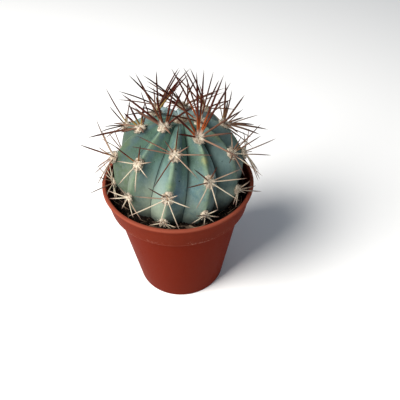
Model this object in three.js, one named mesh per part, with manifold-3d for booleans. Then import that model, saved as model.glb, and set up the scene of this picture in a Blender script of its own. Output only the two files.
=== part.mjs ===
// A potted melocactus: a ribbed globular cactus with a spine cluster on every areole,
// standing in soil in a small round plastic pot. Millimetres, +Z up, origin at the middle of the pot's foot.
import * as THREE from "three";
import { mergeVertices } from "three/addons/utils/BufferGeometryUtils.js";
import Module from "manifold-3d";

// The pot
const POT_HEIGHT = 48;
const RIM_RADIUS = 27.5;
const LIP_WIDTH = 1.3;
const LIP_HEIGHT = 1.3;
const WALL = 0.95;
const BAND_HEIGHT = 9.2;
const BAND_TOP_RADIUS = 26.9;
const BAND_FOOT_RADIUS = 25.6;
const BODY_TOP_RADIUS = 23.7;
const FOOT_RADIUS = 17.7;
const FOOT_CHAMFER = 0.4;
const FOOT_RING_WIDTH = 2.2;
const CENTRE_DISC_RADIUS = 6.5;
const DRAIN_RECESS = 1.1;
const FLOOR_TOP = 2.2;
const DRAIN_HOLES = 8;
const DRAIN_HOLE_RADIUS = 2.1;
const DRAIN_CIRCLE_RADIUS = 11;
const POT_SIDES = 48;

// The soil
const SOIL_LEVEL = 43.6;
const SOIL_GAP = 0.25;
const SOIL_LUMP = 0.35;

// The stem, measured from the point on its axis at the soil line
const PIVOT_HEIGHT = 44;
const LEAN_RIGHT = 0.05;
const LEAN_BACK = 0.03;
const STEM_RADIUS = 23.1;
const EQUATOR_HEIGHT = 9.1;
const CROWN_HEIGHT = 20.5;
const BASE_DEPTH = 20.8;
const CROWN_ROUNDNESS = 2.05;
const BASE_ROUNDNESS = 2.1;
const RIBS = 10;
const FIRST_RIB_AZIMUTH = -9.5;
const RIB_CROWDING = 4.8;
const CROWDED_SIDE = 5;
const RIB_TWIST = 0.33;
const VALLEY_DEPTH = 0.17;
const CROWN_VALLEY = 0.75;
const FOOT_VALLEY = 0.3;
const CREST_ROUNDING = 0.06;
const CROWN_FACE_BULGE = 1.08;
const FOOT_FACE_BULGE = 1.3;
const FOOT_FACES = -36;
const FLAT_FACES = 4;
const APEX_DIP = 2.2;
const APEX_DIP_RADIUS = 5;
const TUBERCLE_RISE = 0.4;
const TUBERCLE_LENGTH = 3;
const TUBERCLE_DROP = 0.7;
const CROWDING_ROUNDS = 4;
const STEM_SIDES_PER_RIB = 8;
const STEM_ROWS = 24;
const SEAT_GAP = 0.3;

// The areoles: how far each rib's first one lies from the apex along the crest, and the steps between them
const FIRST_AREOLE = [17, 12, 7.2, 15.6, 12.6, 7.2, 15.2, 8.5, 13.8, 8.3];
const AREOLE_STEP = 14.6;
const STEP_SHRINK = 0.42;
const CREST_LENGTH = 40;
const AREOLE_LOWEST = 3.1;
const PAD_HALF_WIDTH = 1.75;
const PAD_HALF_LENGTH = 2.1;
const PAD_HEIGHT = 1.35;
const APEX_PAD_RADIUS = 2.5;
const APEX_PAD_HEIGHT = 1.2;

// The spines of one cluster by age: [clock angle from the apex side, lift off the skin, length, root radius]
const CROWN_STAR = [
  [4, 50, 21, 0.46],
  [-32, 44, 19, 0.44],
  [40, 45, 18.5, 0.44],
  [-66, 32, 16, 0.4],
  [72, 32, 16, 0.4],
  [-115, 24, 13, 0.37],
  [118, 24, 13, 0.37],
];
const SHOULDER_STAR = [
  [4, 58, 11.5, 0.44],
  [-74, 24, 15.5, 0.38],
  [-44, 38, 10.5, 0.36],
  [46, 34, 8.5, 0.36],
  [92, 22, 13, 0.38],
  [134, 19, 12.5, 0.38],
  [-148, 18, 13, 0.38],
  [-110, 22, 10, 0.36],
  [178, 26, 10, 0.36],
];
const FLANK_STAR = [
  [14, 60, 6, 0.38],
  [-52, 34, 8, 0.36],
  [-86, 18, 11, 0.37],
  [-119, 16, 13, 0.38],
  [-164, 16, 11.5, 0.38],
  [158, 16, 12.5, 0.38],
  [121, 17, 12, 0.38],
  [86, 18, 12.5, 0.38],
  [58, 30, 9.5, 0.36],
];
const LOW_STAR = [
  [2, 46, 7, 0.36],
  [-30, 38, 8, 0.35],
  [34, 36, 8, 0.35],
  [-56, 22, 9, 0.36],
  [58, 22, 9, 0.36],
  [-78, 9, 8.5, 0.36],
  [80, 9, 8.5, 0.36],
  [-98, 5, 6.5, 0.34],
  [100, 5, 6.5, 0.34],
];
const APEX_STAR = [
  [0, 70, 9, 0.38],
  [70, 60, 8, 0.36],
  [140, 66, 7.5, 0.36],
  [215, 62, 8, 0.36],
  [290, 60, 9, 0.38],
];

// Clusters with a star of their own: [clock angle, lift, length]
const OWN_STARS = {
  areole_rib01_1: [
    [2, 42, 8.5], [57, 30, 4.5], [88, 20, 11], [132, 18, 10.5],
    [-159, 16, 12], [-92, 22, 12.5], [-76, 26, 12], [-47, 35, 4.5],
  ],
  areole_rib01_2: [
    [0, 62, 5], [-58, 30, 7], [-92, 20, 9.5], [-125, 18, 12.5],
    [-176, 20, 8.5], [144, 22, 9.5], [92, 18, 7], [48, 27, 3.5],
  ],
  areole_rib01_3: [[-108, 20, 4], [74, 22, 4], [176, 31, 2.5], [-55, 30, 4], [30, 40, 3], [120, 20, 3]],
  areole_rib02_1: [
    [43, 52, 19.4], [54, 48, 18.5], [3, 60, 19.3], [15, 58, 20], [-33, 52, 16.4],
    [85, 35, 15], [107, 20, 10.5], [147, 15, 14.6], [-77, 22, 6.5], [-69, 40, 13.5],
  ],
  areole_rib02_2: [
    [0, 55, 7], [-57, 28, 9], [69, 30, 9.5], [90, 22, 11],
    [129, 18, 10.5], [174, 21, 8], [-139, 16, 9], [-92, 16, 8],
  ],
  areole_rib02_3: [[-118, 20, 6], [-175, 30, 3], [123, 26, 4], [92, 20, 4.5], [46, 20, 4], [-62, 24, 5]],
  areole_rib03_2: [
    [90, 46, 10.5], [71, 46, 12.5], [44, 50, 5], [15, 25, 6],
    [-157, 20, 7.5], [167, 25, 11.5], [-100, 20, 6], [125, 24, 8],
  ],
  areole_rib03_3: [
    [54, 35, 4.5], [95, 30, 7.5], [116, 27, 13],
    [-171, 20, 8], [-110, 18, 6], [150, 20, 7],
  ],
  areole_rib04_1: [
    [49, 56, 13], [111, 62, 11.5], [157, 45, 6.5], [175, 25, 15.5], [165, 25, 11],
    [-169, 22, 12], [55, 65, 7], [-60, 30, 9], [-110, 20, 7],
  ],
  areole_rib08_2: [
    [-24, 77, 13.8], [34, 60, 9.5], [-43, 39, 6.5], [67, 25, 12],
    [74, 22, 13.5], [-75, 35, 10], [-115, 22, 9], [150, 20, 8],
  ],
  areole_rib09_1: [
    [-40, 72, 13], [-175, 24, 16], [-5, 41, 3.5], [170, 30, 5.5],
    [-33, 45, 8], [-118, 60, 6], [-140, 20, 9], [80, 20, 6],
  ],
  areole_rib10_1: [
    [-77, 45, 18.7], [-96, 32, 16], [-100, 27, 14.5], [-96, 20, 11.5], [-11, 58, 15.5],
    [6, 50, 16.5], [33, 30, 10.5], [-43, 62, 13.5], [120, 20, 6],
  ],
  areole_rib10_2: [
    [4, 39, 6.5], [-77, 41, 8.5], [-113, 21, 6], [-171, 17, 8],
    [144, 18, 9.5], [102, 16, 6], [59, 25, 6.5],
  ],
  areole_rib10_3: [
    [-19, 30, 5.5], [-100, 20, 7.5], [-121, 25, 7],
    [-178, 21, 5.5], [136, 20, 6.5], [96, 20, 9],
  ],
};
const OWN_ROOT_RADIUS = 0.37;

// Spines that stand out from their cluster's star: [clock angle, lift, length]
const SINGLE_SPINES = {
  areole_rib04_2: [[-41, 74, 12], [-109, 72, 9]],
  areole_rib09_2: [[-110, 75, 11.3], [142, 23, 10]],
  areole_rib09_3: [[59, 54, 10.7]],
};

// How the clusters change down a rib, and how far a spine strays from its star
const CROWN_END = 16;
const SHOULDER_END = 29;
const DARK_END = 20;
const LOW_START = 33;
const LOW_PAD_SHARE = 0.8;
const CROWN_LIMIT = 90;
const CROWN_LIMIT_TILT = 0.45;
const CLOCK_WOBBLE = 9;
const LIFT_WOBBLE = 6;
const LENGTH_WOBBLE = 0.14;
const SPINE_BOW = 0.09;
const SPINE_SIDES = 3;
const SPINE_STEPS = 3;
const BENT_FROM = 9.5;
const ROOT_SUNK = 0.45;
const ROOT_SPREAD = 1;
const SPINE_CLEARANCE = 0.3;
const CLEARING_TRIES = 28;
const CLEARING_TURN = 5;
const CLEARING_LIFT = 2;
const MOST_LIFT = 80;
const CLEARING_SHORTEN = 0.92;

// Materials
const plastic = new THREE.MeshStandardMaterial({ color: 0xa8432c, roughness: 0.5, metalness: 0 });
const earth = new THREE.MeshStandardMaterial({ color: 0x1c1512, roughness: 0.95, metalness: 0 });
const skin = new THREE.MeshStandardMaterial({ color: 0x5f8f80, roughness: 0.6, metalness: 0 });
const darkSpine = new THREE.MeshStandardMaterial({ color: 0x4a211b, roughness: 0.45, metalness: 0 });
const ivorySpine = new THREE.MeshStandardMaterial({ color: 0xd8c7ab, roughness: 0.6, metalness: 0 });

const wasm = await Module();
wasm.setup();

const radians = THREE.MathUtils.degToRad;
const X = new THREE.Vector3(1, 0, 0);
const Z = new THREE.Vector3(0, 0, 1);

// A repeatable number from -1 to 1 for each whole number
function wobble(n) {
  const raw = Math.sin(n * 12.9898 + 4.1414) * 43758.5453;
  return 2 * (raw - Math.floor(raw)) - 1;
}

// A closed geometry as a solid that can be joined and cut
function toSolid(geometry) {
  const bare = geometry.clone();
  bare.deleteAttribute("normal");
  bare.deleteAttribute("uv");
  const merged = mergeVertices(bare, 1e-4);
  return new wasm.Manifold(
    new wasm.Mesh({
      numProp: 3,
      vertProperties: new Float32Array(merged.attributes.position.array),
      triVerts: new Uint32Array(merged.index.array),
    }),
  );
}

// A solid back as a geometry
function toGeometry(solid) {
  const mesh = solid.getMesh();
  const geometry = new THREE.BufferGeometry();
  geometry.setAttribute("position", new THREE.BufferAttribute(new Float32Array(mesh.vertProperties), 3));
  geometry.setIndex(new THREE.BufferAttribute(new Uint32Array(mesh.triVerts), 1));
  geometry.computeVertexNormals();
  return geometry;
}

// A profile of [radius, height] points turned about the +Z axis
function turned(points, sides) {
  const profile = points.map(([r, z]) => new THREE.Vector2(r, z));
  return new THREE.LatheGeometry(profile, sides).rotateX(Math.PI / 2);
}

// Moves every vertex of a geometry to the point that place() returns for it
function reshape(geometry, place) {
  const position = geometry.attributes.position;
  const point = new THREE.Vector3();
  for (let i = 0; i < position.count; i += 1) {
    point.fromBufferAttribute(position, i);
    const moved = place(point);
    position.setXYZ(i, moved.x, moved.y, moved.z);
  }
  return geometry;
}

function named(name, geometry, material) {
  const mesh = new THREE.Mesh(geometry, material);
  mesh.name = name;
  return mesh;
}

// Inner radius of the pot's wall at a height
function potInside(z) {
  const bandFoot = POT_HEIGHT - BAND_HEIGHT;
  if (z < bandFoot - WALL) {
    const share = z / bandFoot;
    return FOOT_RADIUS + (BODY_TOP_RADIUS - FOOT_RADIUS) * share - WALL;
  }
  const share = (z - bandFoot) / BAND_HEIGHT;
  return Math.min(BAND_FOOT_RADIUS + (BAND_TOP_RADIUS - BAND_FOOT_RADIUS) * share - WALL, RIM_RADIUS - LIP_WIDTH);
}

// Pot: tapered wall, wider band below a rounded lip, foot ring, and drain holes in a shallow recess
function makePot() {
  const bandFoot = POT_HEIGHT - BAND_HEIGHT;
  const ringInside = FOOT_RADIUS - FOOT_CHAMFER - FOOT_RING_WIDTH;
  const round = 0.4;
  const profile = [
    [0, 0],
    [CENTRE_DISC_RADIUS, 0],
    [CENTRE_DISC_RADIUS + round, DRAIN_RECESS],
    [ringInside - round, DRAIN_RECESS],
    [ringInside, 0],
    [FOOT_RADIUS - FOOT_CHAMFER, 0],
    [FOOT_RADIUS, FOOT_CHAMFER],
    [BODY_TOP_RADIUS, bandFoot],
    [BAND_FOOT_RADIUS - round / 2, bandFoot],
    [BAND_FOOT_RADIUS, bandFoot + round],
    [BAND_TOP_RADIUS, POT_HEIGHT - LIP_HEIGHT],
    [RIM_RADIUS, POT_HEIGHT - LIP_HEIGHT + round / 2],
    [RIM_RADIUS, POT_HEIGHT - round],
    [RIM_RADIUS - round, POT_HEIGHT],
    [RIM_RADIUS - LIP_WIDTH + round, POT_HEIGHT],
    [RIM_RADIUS - LIP_WIDTH, POT_HEIGHT - round],
    [potInside(POT_HEIGHT - LIP_HEIGHT), POT_HEIGHT - LIP_HEIGHT],
    [BAND_FOOT_RADIUS - WALL, bandFoot + WALL / 2],
    [BODY_TOP_RADIUS - WALL, bandFoot - WALL],
    [potInside(FLOOR_TOP), FLOOR_TOP],
    [0, FLOOR_TOP],
  ];
  let pot = toSolid(turned(profile, POT_SIDES));
  for (let i = 0; i < DRAIN_HOLES; i += 1) {
    const angle = (2 * Math.PI * (i + 0.5)) / DRAIN_HOLES;
    const drill = new THREE.CylinderGeometry(DRAIN_HOLE_RADIUS, DRAIN_HOLE_RADIUS, 4 * FLOOR_TOP, 12);
    drill.rotateX(Math.PI / 2);
    drill.translate(DRAIN_CIRCLE_RADIUS * Math.cos(angle), DRAIN_CIRCLE_RADIUS * Math.sin(angle), FLOOR_TOP / 2);
    pot = pot.subtract(toSolid(drill));
  }
  return toGeometry(pot);
}

// The plant's own frame leans about the point on its axis at the soil line
const plant = new THREE.Group();
plant.position.set(0, 0, PIVOT_HEIGHT);
plant.quaternion.setFromUnitVectors(Z, new THREE.Vector3(LEAN_RIGHT, LEAN_BACK, 1).normalize());
plant.updateMatrixWorld(true);

// Radius of the stem's round outline, over the crests, at a height above the soil line
function outline(z) {
  const up = z >= EQUATOR_HEIGHT;
  const share = Math.min(1, Math.abs(z - EQUATOR_HEIGHT) / (up ? CROWN_HEIGHT : BASE_DEPTH));
  const power = up ? CROWN_ROUNDNESS : BASE_ROUNDNESS;
  return STEM_RADIUS * (1 - share ** power) ** (1 / power);
}

// A point of the outline by its angle from the equator, -90 at the base to 90 at the apex, as [radius, height]
function outlineAt(degrees) {
  const up = degrees >= 0;
  const power = up ? CROWN_ROUNDNESS : BASE_ROUNDNESS;
  const reach = up ? CROWN_HEIGHT : -BASE_DEPTH;
  const sine = Math.abs(Math.sin(radians(degrees))) ** (2 / power);
  const cosine = Math.abs(Math.cos(radians(degrees))) ** (2 / power);
  return [STEM_RADIUS * cosine, EQUATOR_HEIGHT + reach * sine];
}

// The outline's angle at each step down from the apex, with the distance walked along it
const WALK_STEP = 0.25;
const walk = [[90, 0]];
for (let degrees = 90 - WALK_STEP; degrees > -90; degrees -= WALK_STEP) {
  const [r0, z0] = outlineAt(degrees + WALK_STEP);
  const [r1, z1] = outlineAt(degrees);
  walk.push([degrees, walk[walk.length - 1][1] + Math.hypot(r1 - r0, z1 - z0)]);
}

const angleAtDistance = (distance) => walk.find(([, walked]) => walked >= distance)[0];

// Distance walked from the apex to an angle on the outline
function distanceAtAngle(degrees) {
  const steps = Math.min(walk.length - 1, (90 - degrees) / WALK_STEP);
  const [low, high] = [walk[Math.floor(steps)][1], walk[Math.ceil(steps)][1]];
  return THREE.MathUtils.lerp(low, high, steps % 1);
}

// Azimuth of a rib's crest at a height, in degrees from -Y towards +X; the ribs stand closer on one side
function crestAzimuth(rib, z) {
  const even = FIRST_RIB_AZIMUTH + (360 / RIBS) * rib;
  const crowded = even - RIB_CROWDING * Math.sin(radians(even - CROWDED_SIDE));
  return crowded + RIB_TWIST * (z - EQUATOR_HEIGHT);
}

// Where an azimuth lies among the ribs, a whole number on each crest
function ribTurns(azimuth, z) {
  const crowded = azimuth - RIB_TWIST * (z - EQUATOR_HEIGHT);
  let even = crowded;
  for (let i = 0; i < CROWDING_ROUNDS; i += 1) {
    even = crowded + RIB_CROWDING * Math.sin(radians(even - CROWDED_SIDE));
  }
  return (even - FIRST_RIB_AZIMUTH) / (360 / RIBS);
}

// Height above the soil of a crest at a distance from the apex
function crestAboveSoil(rib, distance) {
  const [r, z] = outlineAt(angleAtDistance(distance));
  const angle = radians(crestAzimuth(rib, z));
  const crest = new THREE.Vector3(r * Math.sin(angle), -r * Math.cos(angle), z);
  return crest.applyMatrix4(plant.matrixWorld).z - SOIL_LEVEL;
}

// Distances from the apex of one rib's areoles, down to the soil
function areolesOn(rib) {
  const found = [];
  let distance = FIRST_AREOLE[rib];
  while (crestAboveSoil(rib, distance) > AREOLE_LOWEST) {
    found.push(distance);
    distance += AREOLE_STEP * (1 - STEP_SHRINK * (distance / CREST_LENGTH) ** 2);
  }
  return found;
}

const areoleDistances = FIRST_AREOLE.map((_, rib) => areolesOn(rib));

// How deep the valleys are at an angle on the outline: full on the flanks, shallow at the apex and the base
function valleyDepth(degrees) {
  const apex = THREE.MathUtils.smoothstep(90 - degrees, 0, 22);
  const base = THREE.MathUtils.smoothstep(degrees, -60, 20);
  const crown = 1 + CROWN_VALLEY * Math.exp(-(((degrees - 55) / 22) ** 2));
  return VALLEY_DEPTH * crown * apex * THREE.MathUtils.lerp(FOOT_VALLEY, 1, base);
}

// How far the skin lies below the outline at an azimuth and an angle: [share of the radius, rise of the tubercles]
function relief(azimuth, z, degrees) {
  const turns = ribTurns(azimuth, z);
  const rib = ((Math.round(turns) % RIBS) + RIBS) % RIBS;
  const across = 2 * Math.abs(turns - Math.round(turns));
  const e = CREST_ROUNDING;
  const flatness = THREE.MathUtils.smoothstep(degrees, FOOT_FACES, FLAT_FACES);
  const bulge = THREE.MathUtils.lerp(FOOT_FACE_BULGE, CROWN_FACE_BULGE, flatness);
  const fall = ((Math.hypot(across, e) - e) / (Math.hypot(1, e) - e)) ** bulge;
  const here = distanceAtAngle(degrees);
  let rise = 0;
  for (const distance of areoleDistances[rib]) {
    const off = (here - distance - TUBERCLE_DROP) / TUBERCLE_LENGTH;
    rise += TUBERCLE_RISE * Math.exp(-(off ** 2)) * (1 - across) ** 2;
  }
  return [valleyDepth(degrees) * fall, rise];
}

// A point of the skin, at an azimuth and an angle on the outline, grown outwards by a margin
function skinPoint(azimuth, degrees, margin = 0) {
  const [r, z] = outlineAt(degrees);
  const [sink, rise] = relief(azimuth, z, degrees);
  const [r1, z1] = outlineAt(Math.min(90, degrees + 1));
  const [r0, z0] = outlineAt(Math.max(-90, degrees - 1));
  const out = new THREE.Vector2(z1 - z0, r0 - r1).normalize();
  const radius = Math.max(0, r * (1 - sink) + (rise + margin) * out.x);
  const dip = APEX_DIP * Math.exp(-((r / APEX_DIP_RADIUS) ** 2));
  const height = z + (rise + margin) * out.y - (degrees > 0 ? dip : 0) - 0.28 * sink * r * Math.max(0, out.y);
  const angle = radians(azimuth);
  return new THREE.Vector3(radius * Math.sin(angle), -radius * Math.cos(angle), height);
}

// Stem: a sphere's grid moved onto the ribbed skin
function makeStem(margin = 0) {
  const sphere = new THREE.SphereGeometry(1, RIBS * STEM_SIDES_PER_RIB, STEM_ROWS).rotateX(Math.PI / 2);
  return reshape(sphere, (point) => {
    const degrees = THREE.MathUtils.radToDeg(Math.asin(THREE.MathUtils.clamp(point.z, -1, 1)));
    const [, z] = outlineAt(degrees);
    const around = THREE.MathUtils.radToDeg(Math.atan2(point.x, -point.y));
    return skinPoint(crestAzimuth(around / (360 / RIBS), z), degrees, margin);
  });
}

// The frame of an areole: its place on the crest, and the directions to its right, to the apex and outwards
function areoleFrame(rib, distance) {
  const degrees = angleAtDistance(distance);
  const azimuth = crestAzimuth(rib, outlineAt(degrees)[1]);
  const place = skinPoint(azimuth, degrees);
  const upward = skinPoint(crestAzimuth(rib, outlineAt(degrees + 2)[1]), degrees + 2);
  const downward = skinPoint(crestAzimuth(rib, outlineAt(degrees - 2)[1]), degrees - 2);
  const up = upward.sub(downward).normalize();
  const side = new THREE.Vector3(Math.cos(radians(azimuth)), Math.sin(radians(azimuth)), 0);
  const out = side.clone().cross(up).normalize();
  return { place, up, out, right: up.clone().cross(out) };
}

// One spine's middle line: the points from its root to its tip
function spineLine(frame, [clock, lift, length], steps) {
  const turn = radians(clock);
  const flat = frame.up.clone().multiplyScalar(Math.cos(turn)).addScaledVector(frame.right, Math.sin(turn));
  const rise = radians(lift);
  const along = flat.clone().multiplyScalar(Math.cos(rise)).addScaledVector(frame.out, Math.sin(rise));
  const bow = flat.clone().multiplyScalar(Math.sin(rise)).addScaledVector(frame.out, -Math.cos(rise));
  const root = frame.place.clone().addScaledVector(frame.out, frame.rootLift).addScaledVector(flat, frame.rootSpread);
  const points = [];
  for (let i = 0; i <= steps; i += 1) {
    const share = i / steps;
    const point = root.clone().addScaledVector(along, length * share - ROOT_SUNK * (1 - share));
    points.push(point.addScaledVector(bow, SPINE_BOW * length * share * share));
  }
  return points;
}

// Whether a spine's points keep off the skin, the soil and the pot, and off the spines of other clusters
function isClear(line, rootRadius, placed, cluster) {
  for (let i = 2; i < line.length; i += 1) {
    const point = line[i];
    const world = point.clone().applyMatrix4(plant.matrixWorld);
    const reach = Math.hypot(world.x, world.y);
    const margin = SPINE_CLEARANCE + rootRadius;
    if (world.z < SOIL_LEVEL + SOIL_LUMP + margin) return false;
    if (world.z < POT_HEIGHT + margin && reach > potInside(world.z) - margin && reach < RIM_RADIUS + margin) return false;
    const azimuth = THREE.MathUtils.radToDeg(Math.atan2(point.x, -point.y));
    const height = Math.max(-BASE_DEPTH, point.z);
    if (height < EQUATOR_HEIGHT + CROWN_HEIGHT) {
      const share = (height - EQUATOR_HEIGHT) / (height > EQUATOR_HEIGHT ? CROWN_HEIGHT : BASE_DEPTH);
      const degrees = THREE.MathUtils.radToDeg(Math.asin(THREE.MathUtils.clamp(share, -1, 1)));
      const [sink, rise] = relief(azimuth, height, degrees);
      if (Math.hypot(point.x, point.y) < outline(height) * (1 - sink) + rise + margin) return false;
    }
  }
  for (const other of placed) {
    if (other.cluster === cluster) continue;
    const near = SPINE_CLEARANCE + rootRadius + other.radius;
    for (const a of line) {
      for (const b of other.line) if (a.distanceToSquared(b) < near * near) return false;
    }
  }
  return true;
}

const LINE_STEPS = 12;
const placedSpines = [];
let drawn = 0;

// How long a spine may be to end below the crown's limit, which falls towards the back
function limitedLength(frame, [clock, lift, length]) {
  const [root, tip] = spineLine(frame, [clock, lift, length], 1).map((p) => p.applyMatrix4(plant.matrixWorld));
  const level = (point) => point.z + CROWN_LIMIT_TILT * point.y;
  const share = (CROWN_LIMIT - level(root)) / Math.max(1e-6, level(tip) - level(root));
  return share > 0 && share < 1 ? length * share : length;
}

// A spine's direction from its areole, as shares of up, right and out
function aim([clock, lift]) {
  const [turn, rise] = [radians(clock), radians(lift)];
  return new THREE.Vector3(Math.cos(rise) * Math.cos(turn), Math.cos(rise) * Math.sin(turn), Math.sin(rise));
}

// A cluster's single spines by their place in the star, each in the nearest place that is still free
function singlesIn(star, cluster) {
  const taken = new Map();
  for (const single of SINGLE_SPINES[cluster] ?? []) {
    const nearness = star.map((spine, i) => (taken.has(i) ? -2 : aim(spine).dot(aim(single))));
    taken.set(nearness.indexOf(Math.max(...nearness)), single);
  }
  return taken;
}

// A star's spine, each of its numbers a little off
function wobbled([clock, lift, length], n) {
  return [
    clock + CLOCK_WOBBLE * wobble(3 * n),
    lift + LIFT_WOBBLE * wobble(3 * n + 1),
    length * (1 + LENGTH_WOBBLE * wobble(3 * n + 2)),
  ];
}

// The directions, lengths and root radii that a cluster's spines would have with nothing in their way
function wishedSpines(star, cluster) {
  if (OWN_STARS[cluster]) return OWN_STARS[cluster].map((spine) => [...spine, OWN_ROOT_RADIUS]);
  const singles = singlesIn(star, cluster);
  return star.map((spine, place) => {
    drawn += 1;
    return [...(singles.get(place) ?? wobbled(spine, drawn)), spine[3]];
  });
}

// The spines of one cluster, each turned, lifted or shortened a little until it is clear
function clusterSpines(frame, star, cluster) {
  const spines = [];
  const raise = star === LOW_STAR ? 0 : CLEARING_LIFT;
  for (const wished of wishedSpines(star, cluster)) {
    const radius = wished[3];
    const wish = wished.slice(0, 3);
    wish[2] = limitedLength(frame, wish);
    for (let attempt = 0; attempt < CLEARING_TRIES; attempt += 1) {
      const swing = CLEARING_TURN * Math.ceil(attempt / 2) * (attempt % 2 ? 1 : -1);
      const lift = Math.min(MOST_LIFT, wish[1] + raise * attempt);
      const set = [wish[0] + swing, lift, wish[2] * CLEARING_SHORTEN ** (attempt / 2)];
      const line = spineLine(frame, set, LINE_STEPS);
      if (isClear(line, radius, placedSpines, cluster)) {
        placedSpines.push({ cluster, line, radius });
        spines.push({ set, radius });
        break;
      }
    }
  }
  return spines;
}

// Spine: a slim three-sided body, rounder towards its tip than a cone, bent where it is long
function makeSpine(frame, { set, radius }) {
  const steps = set[2] > BENT_FROM ? SPINE_STEPS : 1;
  const line = spineLine(frame, set, steps);
  const cone = new THREE.ConeGeometry(radius, 1, SPINE_SIDES, steps);
  const along = line[1].clone().sub(line[0]).normalize();
  const turn = new THREE.Quaternion().setFromUnitVectors(new THREE.Vector3(0, 1, 0), along);
  return reshape(cone, (point) => {
    const step = Math.round((point.y + 0.5) * steps);
    const ring = new THREE.Vector3(point.x, 0, point.z).applyQuaternion(turn);
    ring.multiplyScalar(1 + step / steps);
    return line[step].clone().add(ring);
  });
}

// Areole: a felted pad that saddles the crest, with its spines fused in, kept off the stem by a gap
function makeAreole(frame, spines, padSize, seat) {
  const basis = new THREE.Matrix4().makeBasis(frame.right, frame.up, frame.out).setPosition(frame.place);
  const pad = new THREE.SphereGeometry(1, 8, 4).rotateX(Math.PI / 2).scale(...padSize);
  let areole = toSolid(pad.applyMatrix4(basis));
  for (const spine of spines) areole = areole.add(toSolid(makeSpine(frame, spine)));
  const pieces = areole.subtract(seat).decompose();
  return pieces.reduce((a, b) => (a.volume() > b.volume() ? a : b));
}

function starFor(distance) {
  if (distance < CROWN_END) return CROWN_STAR;
  if (distance < SHOULDER_END) return SHOULDER_STAR;
  return distance < LOW_START ? FLANK_STAR : LOW_STAR;
}

const seat = toSolid(makeStem(SEAT_GAP));
plant.add(named("stem", makeStem(), skin));

areoleDistances.forEach((distances, rib) => {
  distances.forEach((distance, i) => {
    const name = `areole_rib${String(rib + 1).padStart(2, "0")}_${i + 1}`;
    const frame = areoleFrame(rib, distance);
    const share = distance > LOW_START ? LOW_PAD_SHARE : 1;
    const pad = [PAD_HALF_WIDTH * share, PAD_HALF_LENGTH * share, PAD_HEIGHT * share];
    frame.rootLift = PAD_HEIGHT * 0.55 * share;
    frame.rootSpread = ROOT_SPREAD * share;
    const spines = clusterSpines(frame, starFor(distance), name);
    const solid = makeAreole(frame, spines, pad, seat);
    plant.add(named(name, toGeometry(solid), distance < DARK_END ? darkSpine : ivorySpine));
  });
});

// The woolly apex, with the youngest spines
const apexFrame = { place: skinPoint(0, 90), up: new THREE.Vector3(0, 1, 0), out: Z.clone(), right: X.clone() };
apexFrame.rootLift = APEX_PAD_HEIGHT * 0.5;
apexFrame.rootSpread = APEX_PAD_RADIUS * 0.45;
const apexSpines = clusterSpines(apexFrame, APEX_STAR, "apex_wool");
const apex = makeAreole(apexFrame, apexSpines, [APEX_PAD_RADIUS, APEX_PAD_RADIUS, APEX_PAD_HEIGHT], seat);
plant.add(named("apex_wool", toGeometry(apex), darkSpine));

// Soil: fills the pot with a narrow gap, lumpy on top, with a hole that the stem stands in
function makeSoil() {
  const bandFoot = POT_HEIGHT - BAND_HEIGHT;
  const top = potInside(SOIL_LEVEL) - SOIL_GAP;
  const rings = [top - 1.2, top - 2.6, STEM_RADIUS - 5, STEM_RADIUS - 12];
  const profile = [
    [0, FLOOR_TOP],
    [potInside(FLOOR_TOP) - SOIL_GAP, FLOOR_TOP],
    [BODY_TOP_RADIUS - WALL - SOIL_GAP, bandFoot - WALL],
    [BAND_FOOT_RADIUS - WALL - SOIL_GAP, bandFoot + WALL],
    [top, SOIL_LEVEL - SOIL_LUMP],
    ...rings.map((r) => [r, SOIL_LEVEL]),
    [0, SOIL_LEVEL],
  ];
  const lumpy = reshape(turned(profile, POT_SIDES), (point) => {
    if (point.z > SOIL_LEVEL - SOIL_LUMP / 2) {
      point.z += SOIL_LUMP * Math.sin(1.3 * point.x + 0.7) * Math.cos(1.1 * point.y - 0.4);
    }
    return point;
  });
  const hole = toSolid(makeStem(SEAT_GAP).applyMatrix4(plant.matrixWorld));
  return toGeometry(toSolid(lumpy).subtract(hole));
}

const cactusInPot = new THREE.Group();
cactusInPot.add(named("pot", makePot(), plastic), named("soil", makeSoil(), earth), plant);

export default cactusInPot;
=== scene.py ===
"""A young melocactus in a small plastic pot, dressed for rendering.

The ribbed stem, its areoles and spines, the soil and the pot are built as fine meshes over
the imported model. Sizes are in millimetres; meshes are written in metres.
"""

from __future__ import annotations

import logging
import math
from dataclasses import dataclass, field
from enum import Enum
from typing import Any, Sequence, Union

import bmesh
import bpy
import numpy as np
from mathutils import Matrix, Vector, noise

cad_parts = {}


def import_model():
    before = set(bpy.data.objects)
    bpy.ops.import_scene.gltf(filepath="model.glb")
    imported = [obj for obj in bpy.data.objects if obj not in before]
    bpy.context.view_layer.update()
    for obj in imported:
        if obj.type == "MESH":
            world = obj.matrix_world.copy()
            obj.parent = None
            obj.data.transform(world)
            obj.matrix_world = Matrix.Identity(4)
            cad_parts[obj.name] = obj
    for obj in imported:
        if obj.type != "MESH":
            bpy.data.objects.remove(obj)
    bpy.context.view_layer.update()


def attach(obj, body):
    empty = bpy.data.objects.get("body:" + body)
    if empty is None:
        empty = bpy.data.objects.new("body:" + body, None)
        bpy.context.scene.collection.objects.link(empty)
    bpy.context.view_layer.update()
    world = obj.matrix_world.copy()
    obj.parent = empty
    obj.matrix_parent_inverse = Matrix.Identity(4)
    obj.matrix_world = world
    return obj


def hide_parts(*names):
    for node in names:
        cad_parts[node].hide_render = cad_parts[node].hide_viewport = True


LOG = logging.getLogger("potted_cactus")
MM = 0.001
Colour = tuple[float, float, float]
Point = tuple[float, float, float]
Span = tuple[float, float]
Array = np.ndarray
Settings = dict[str, Any]
Sockets = dict[Union[int, str], Any]


class Axis(Enum):
    """The directions of the part's frame."""

    RIGHT = 0
    BACK = 1
    UP = 2


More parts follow.
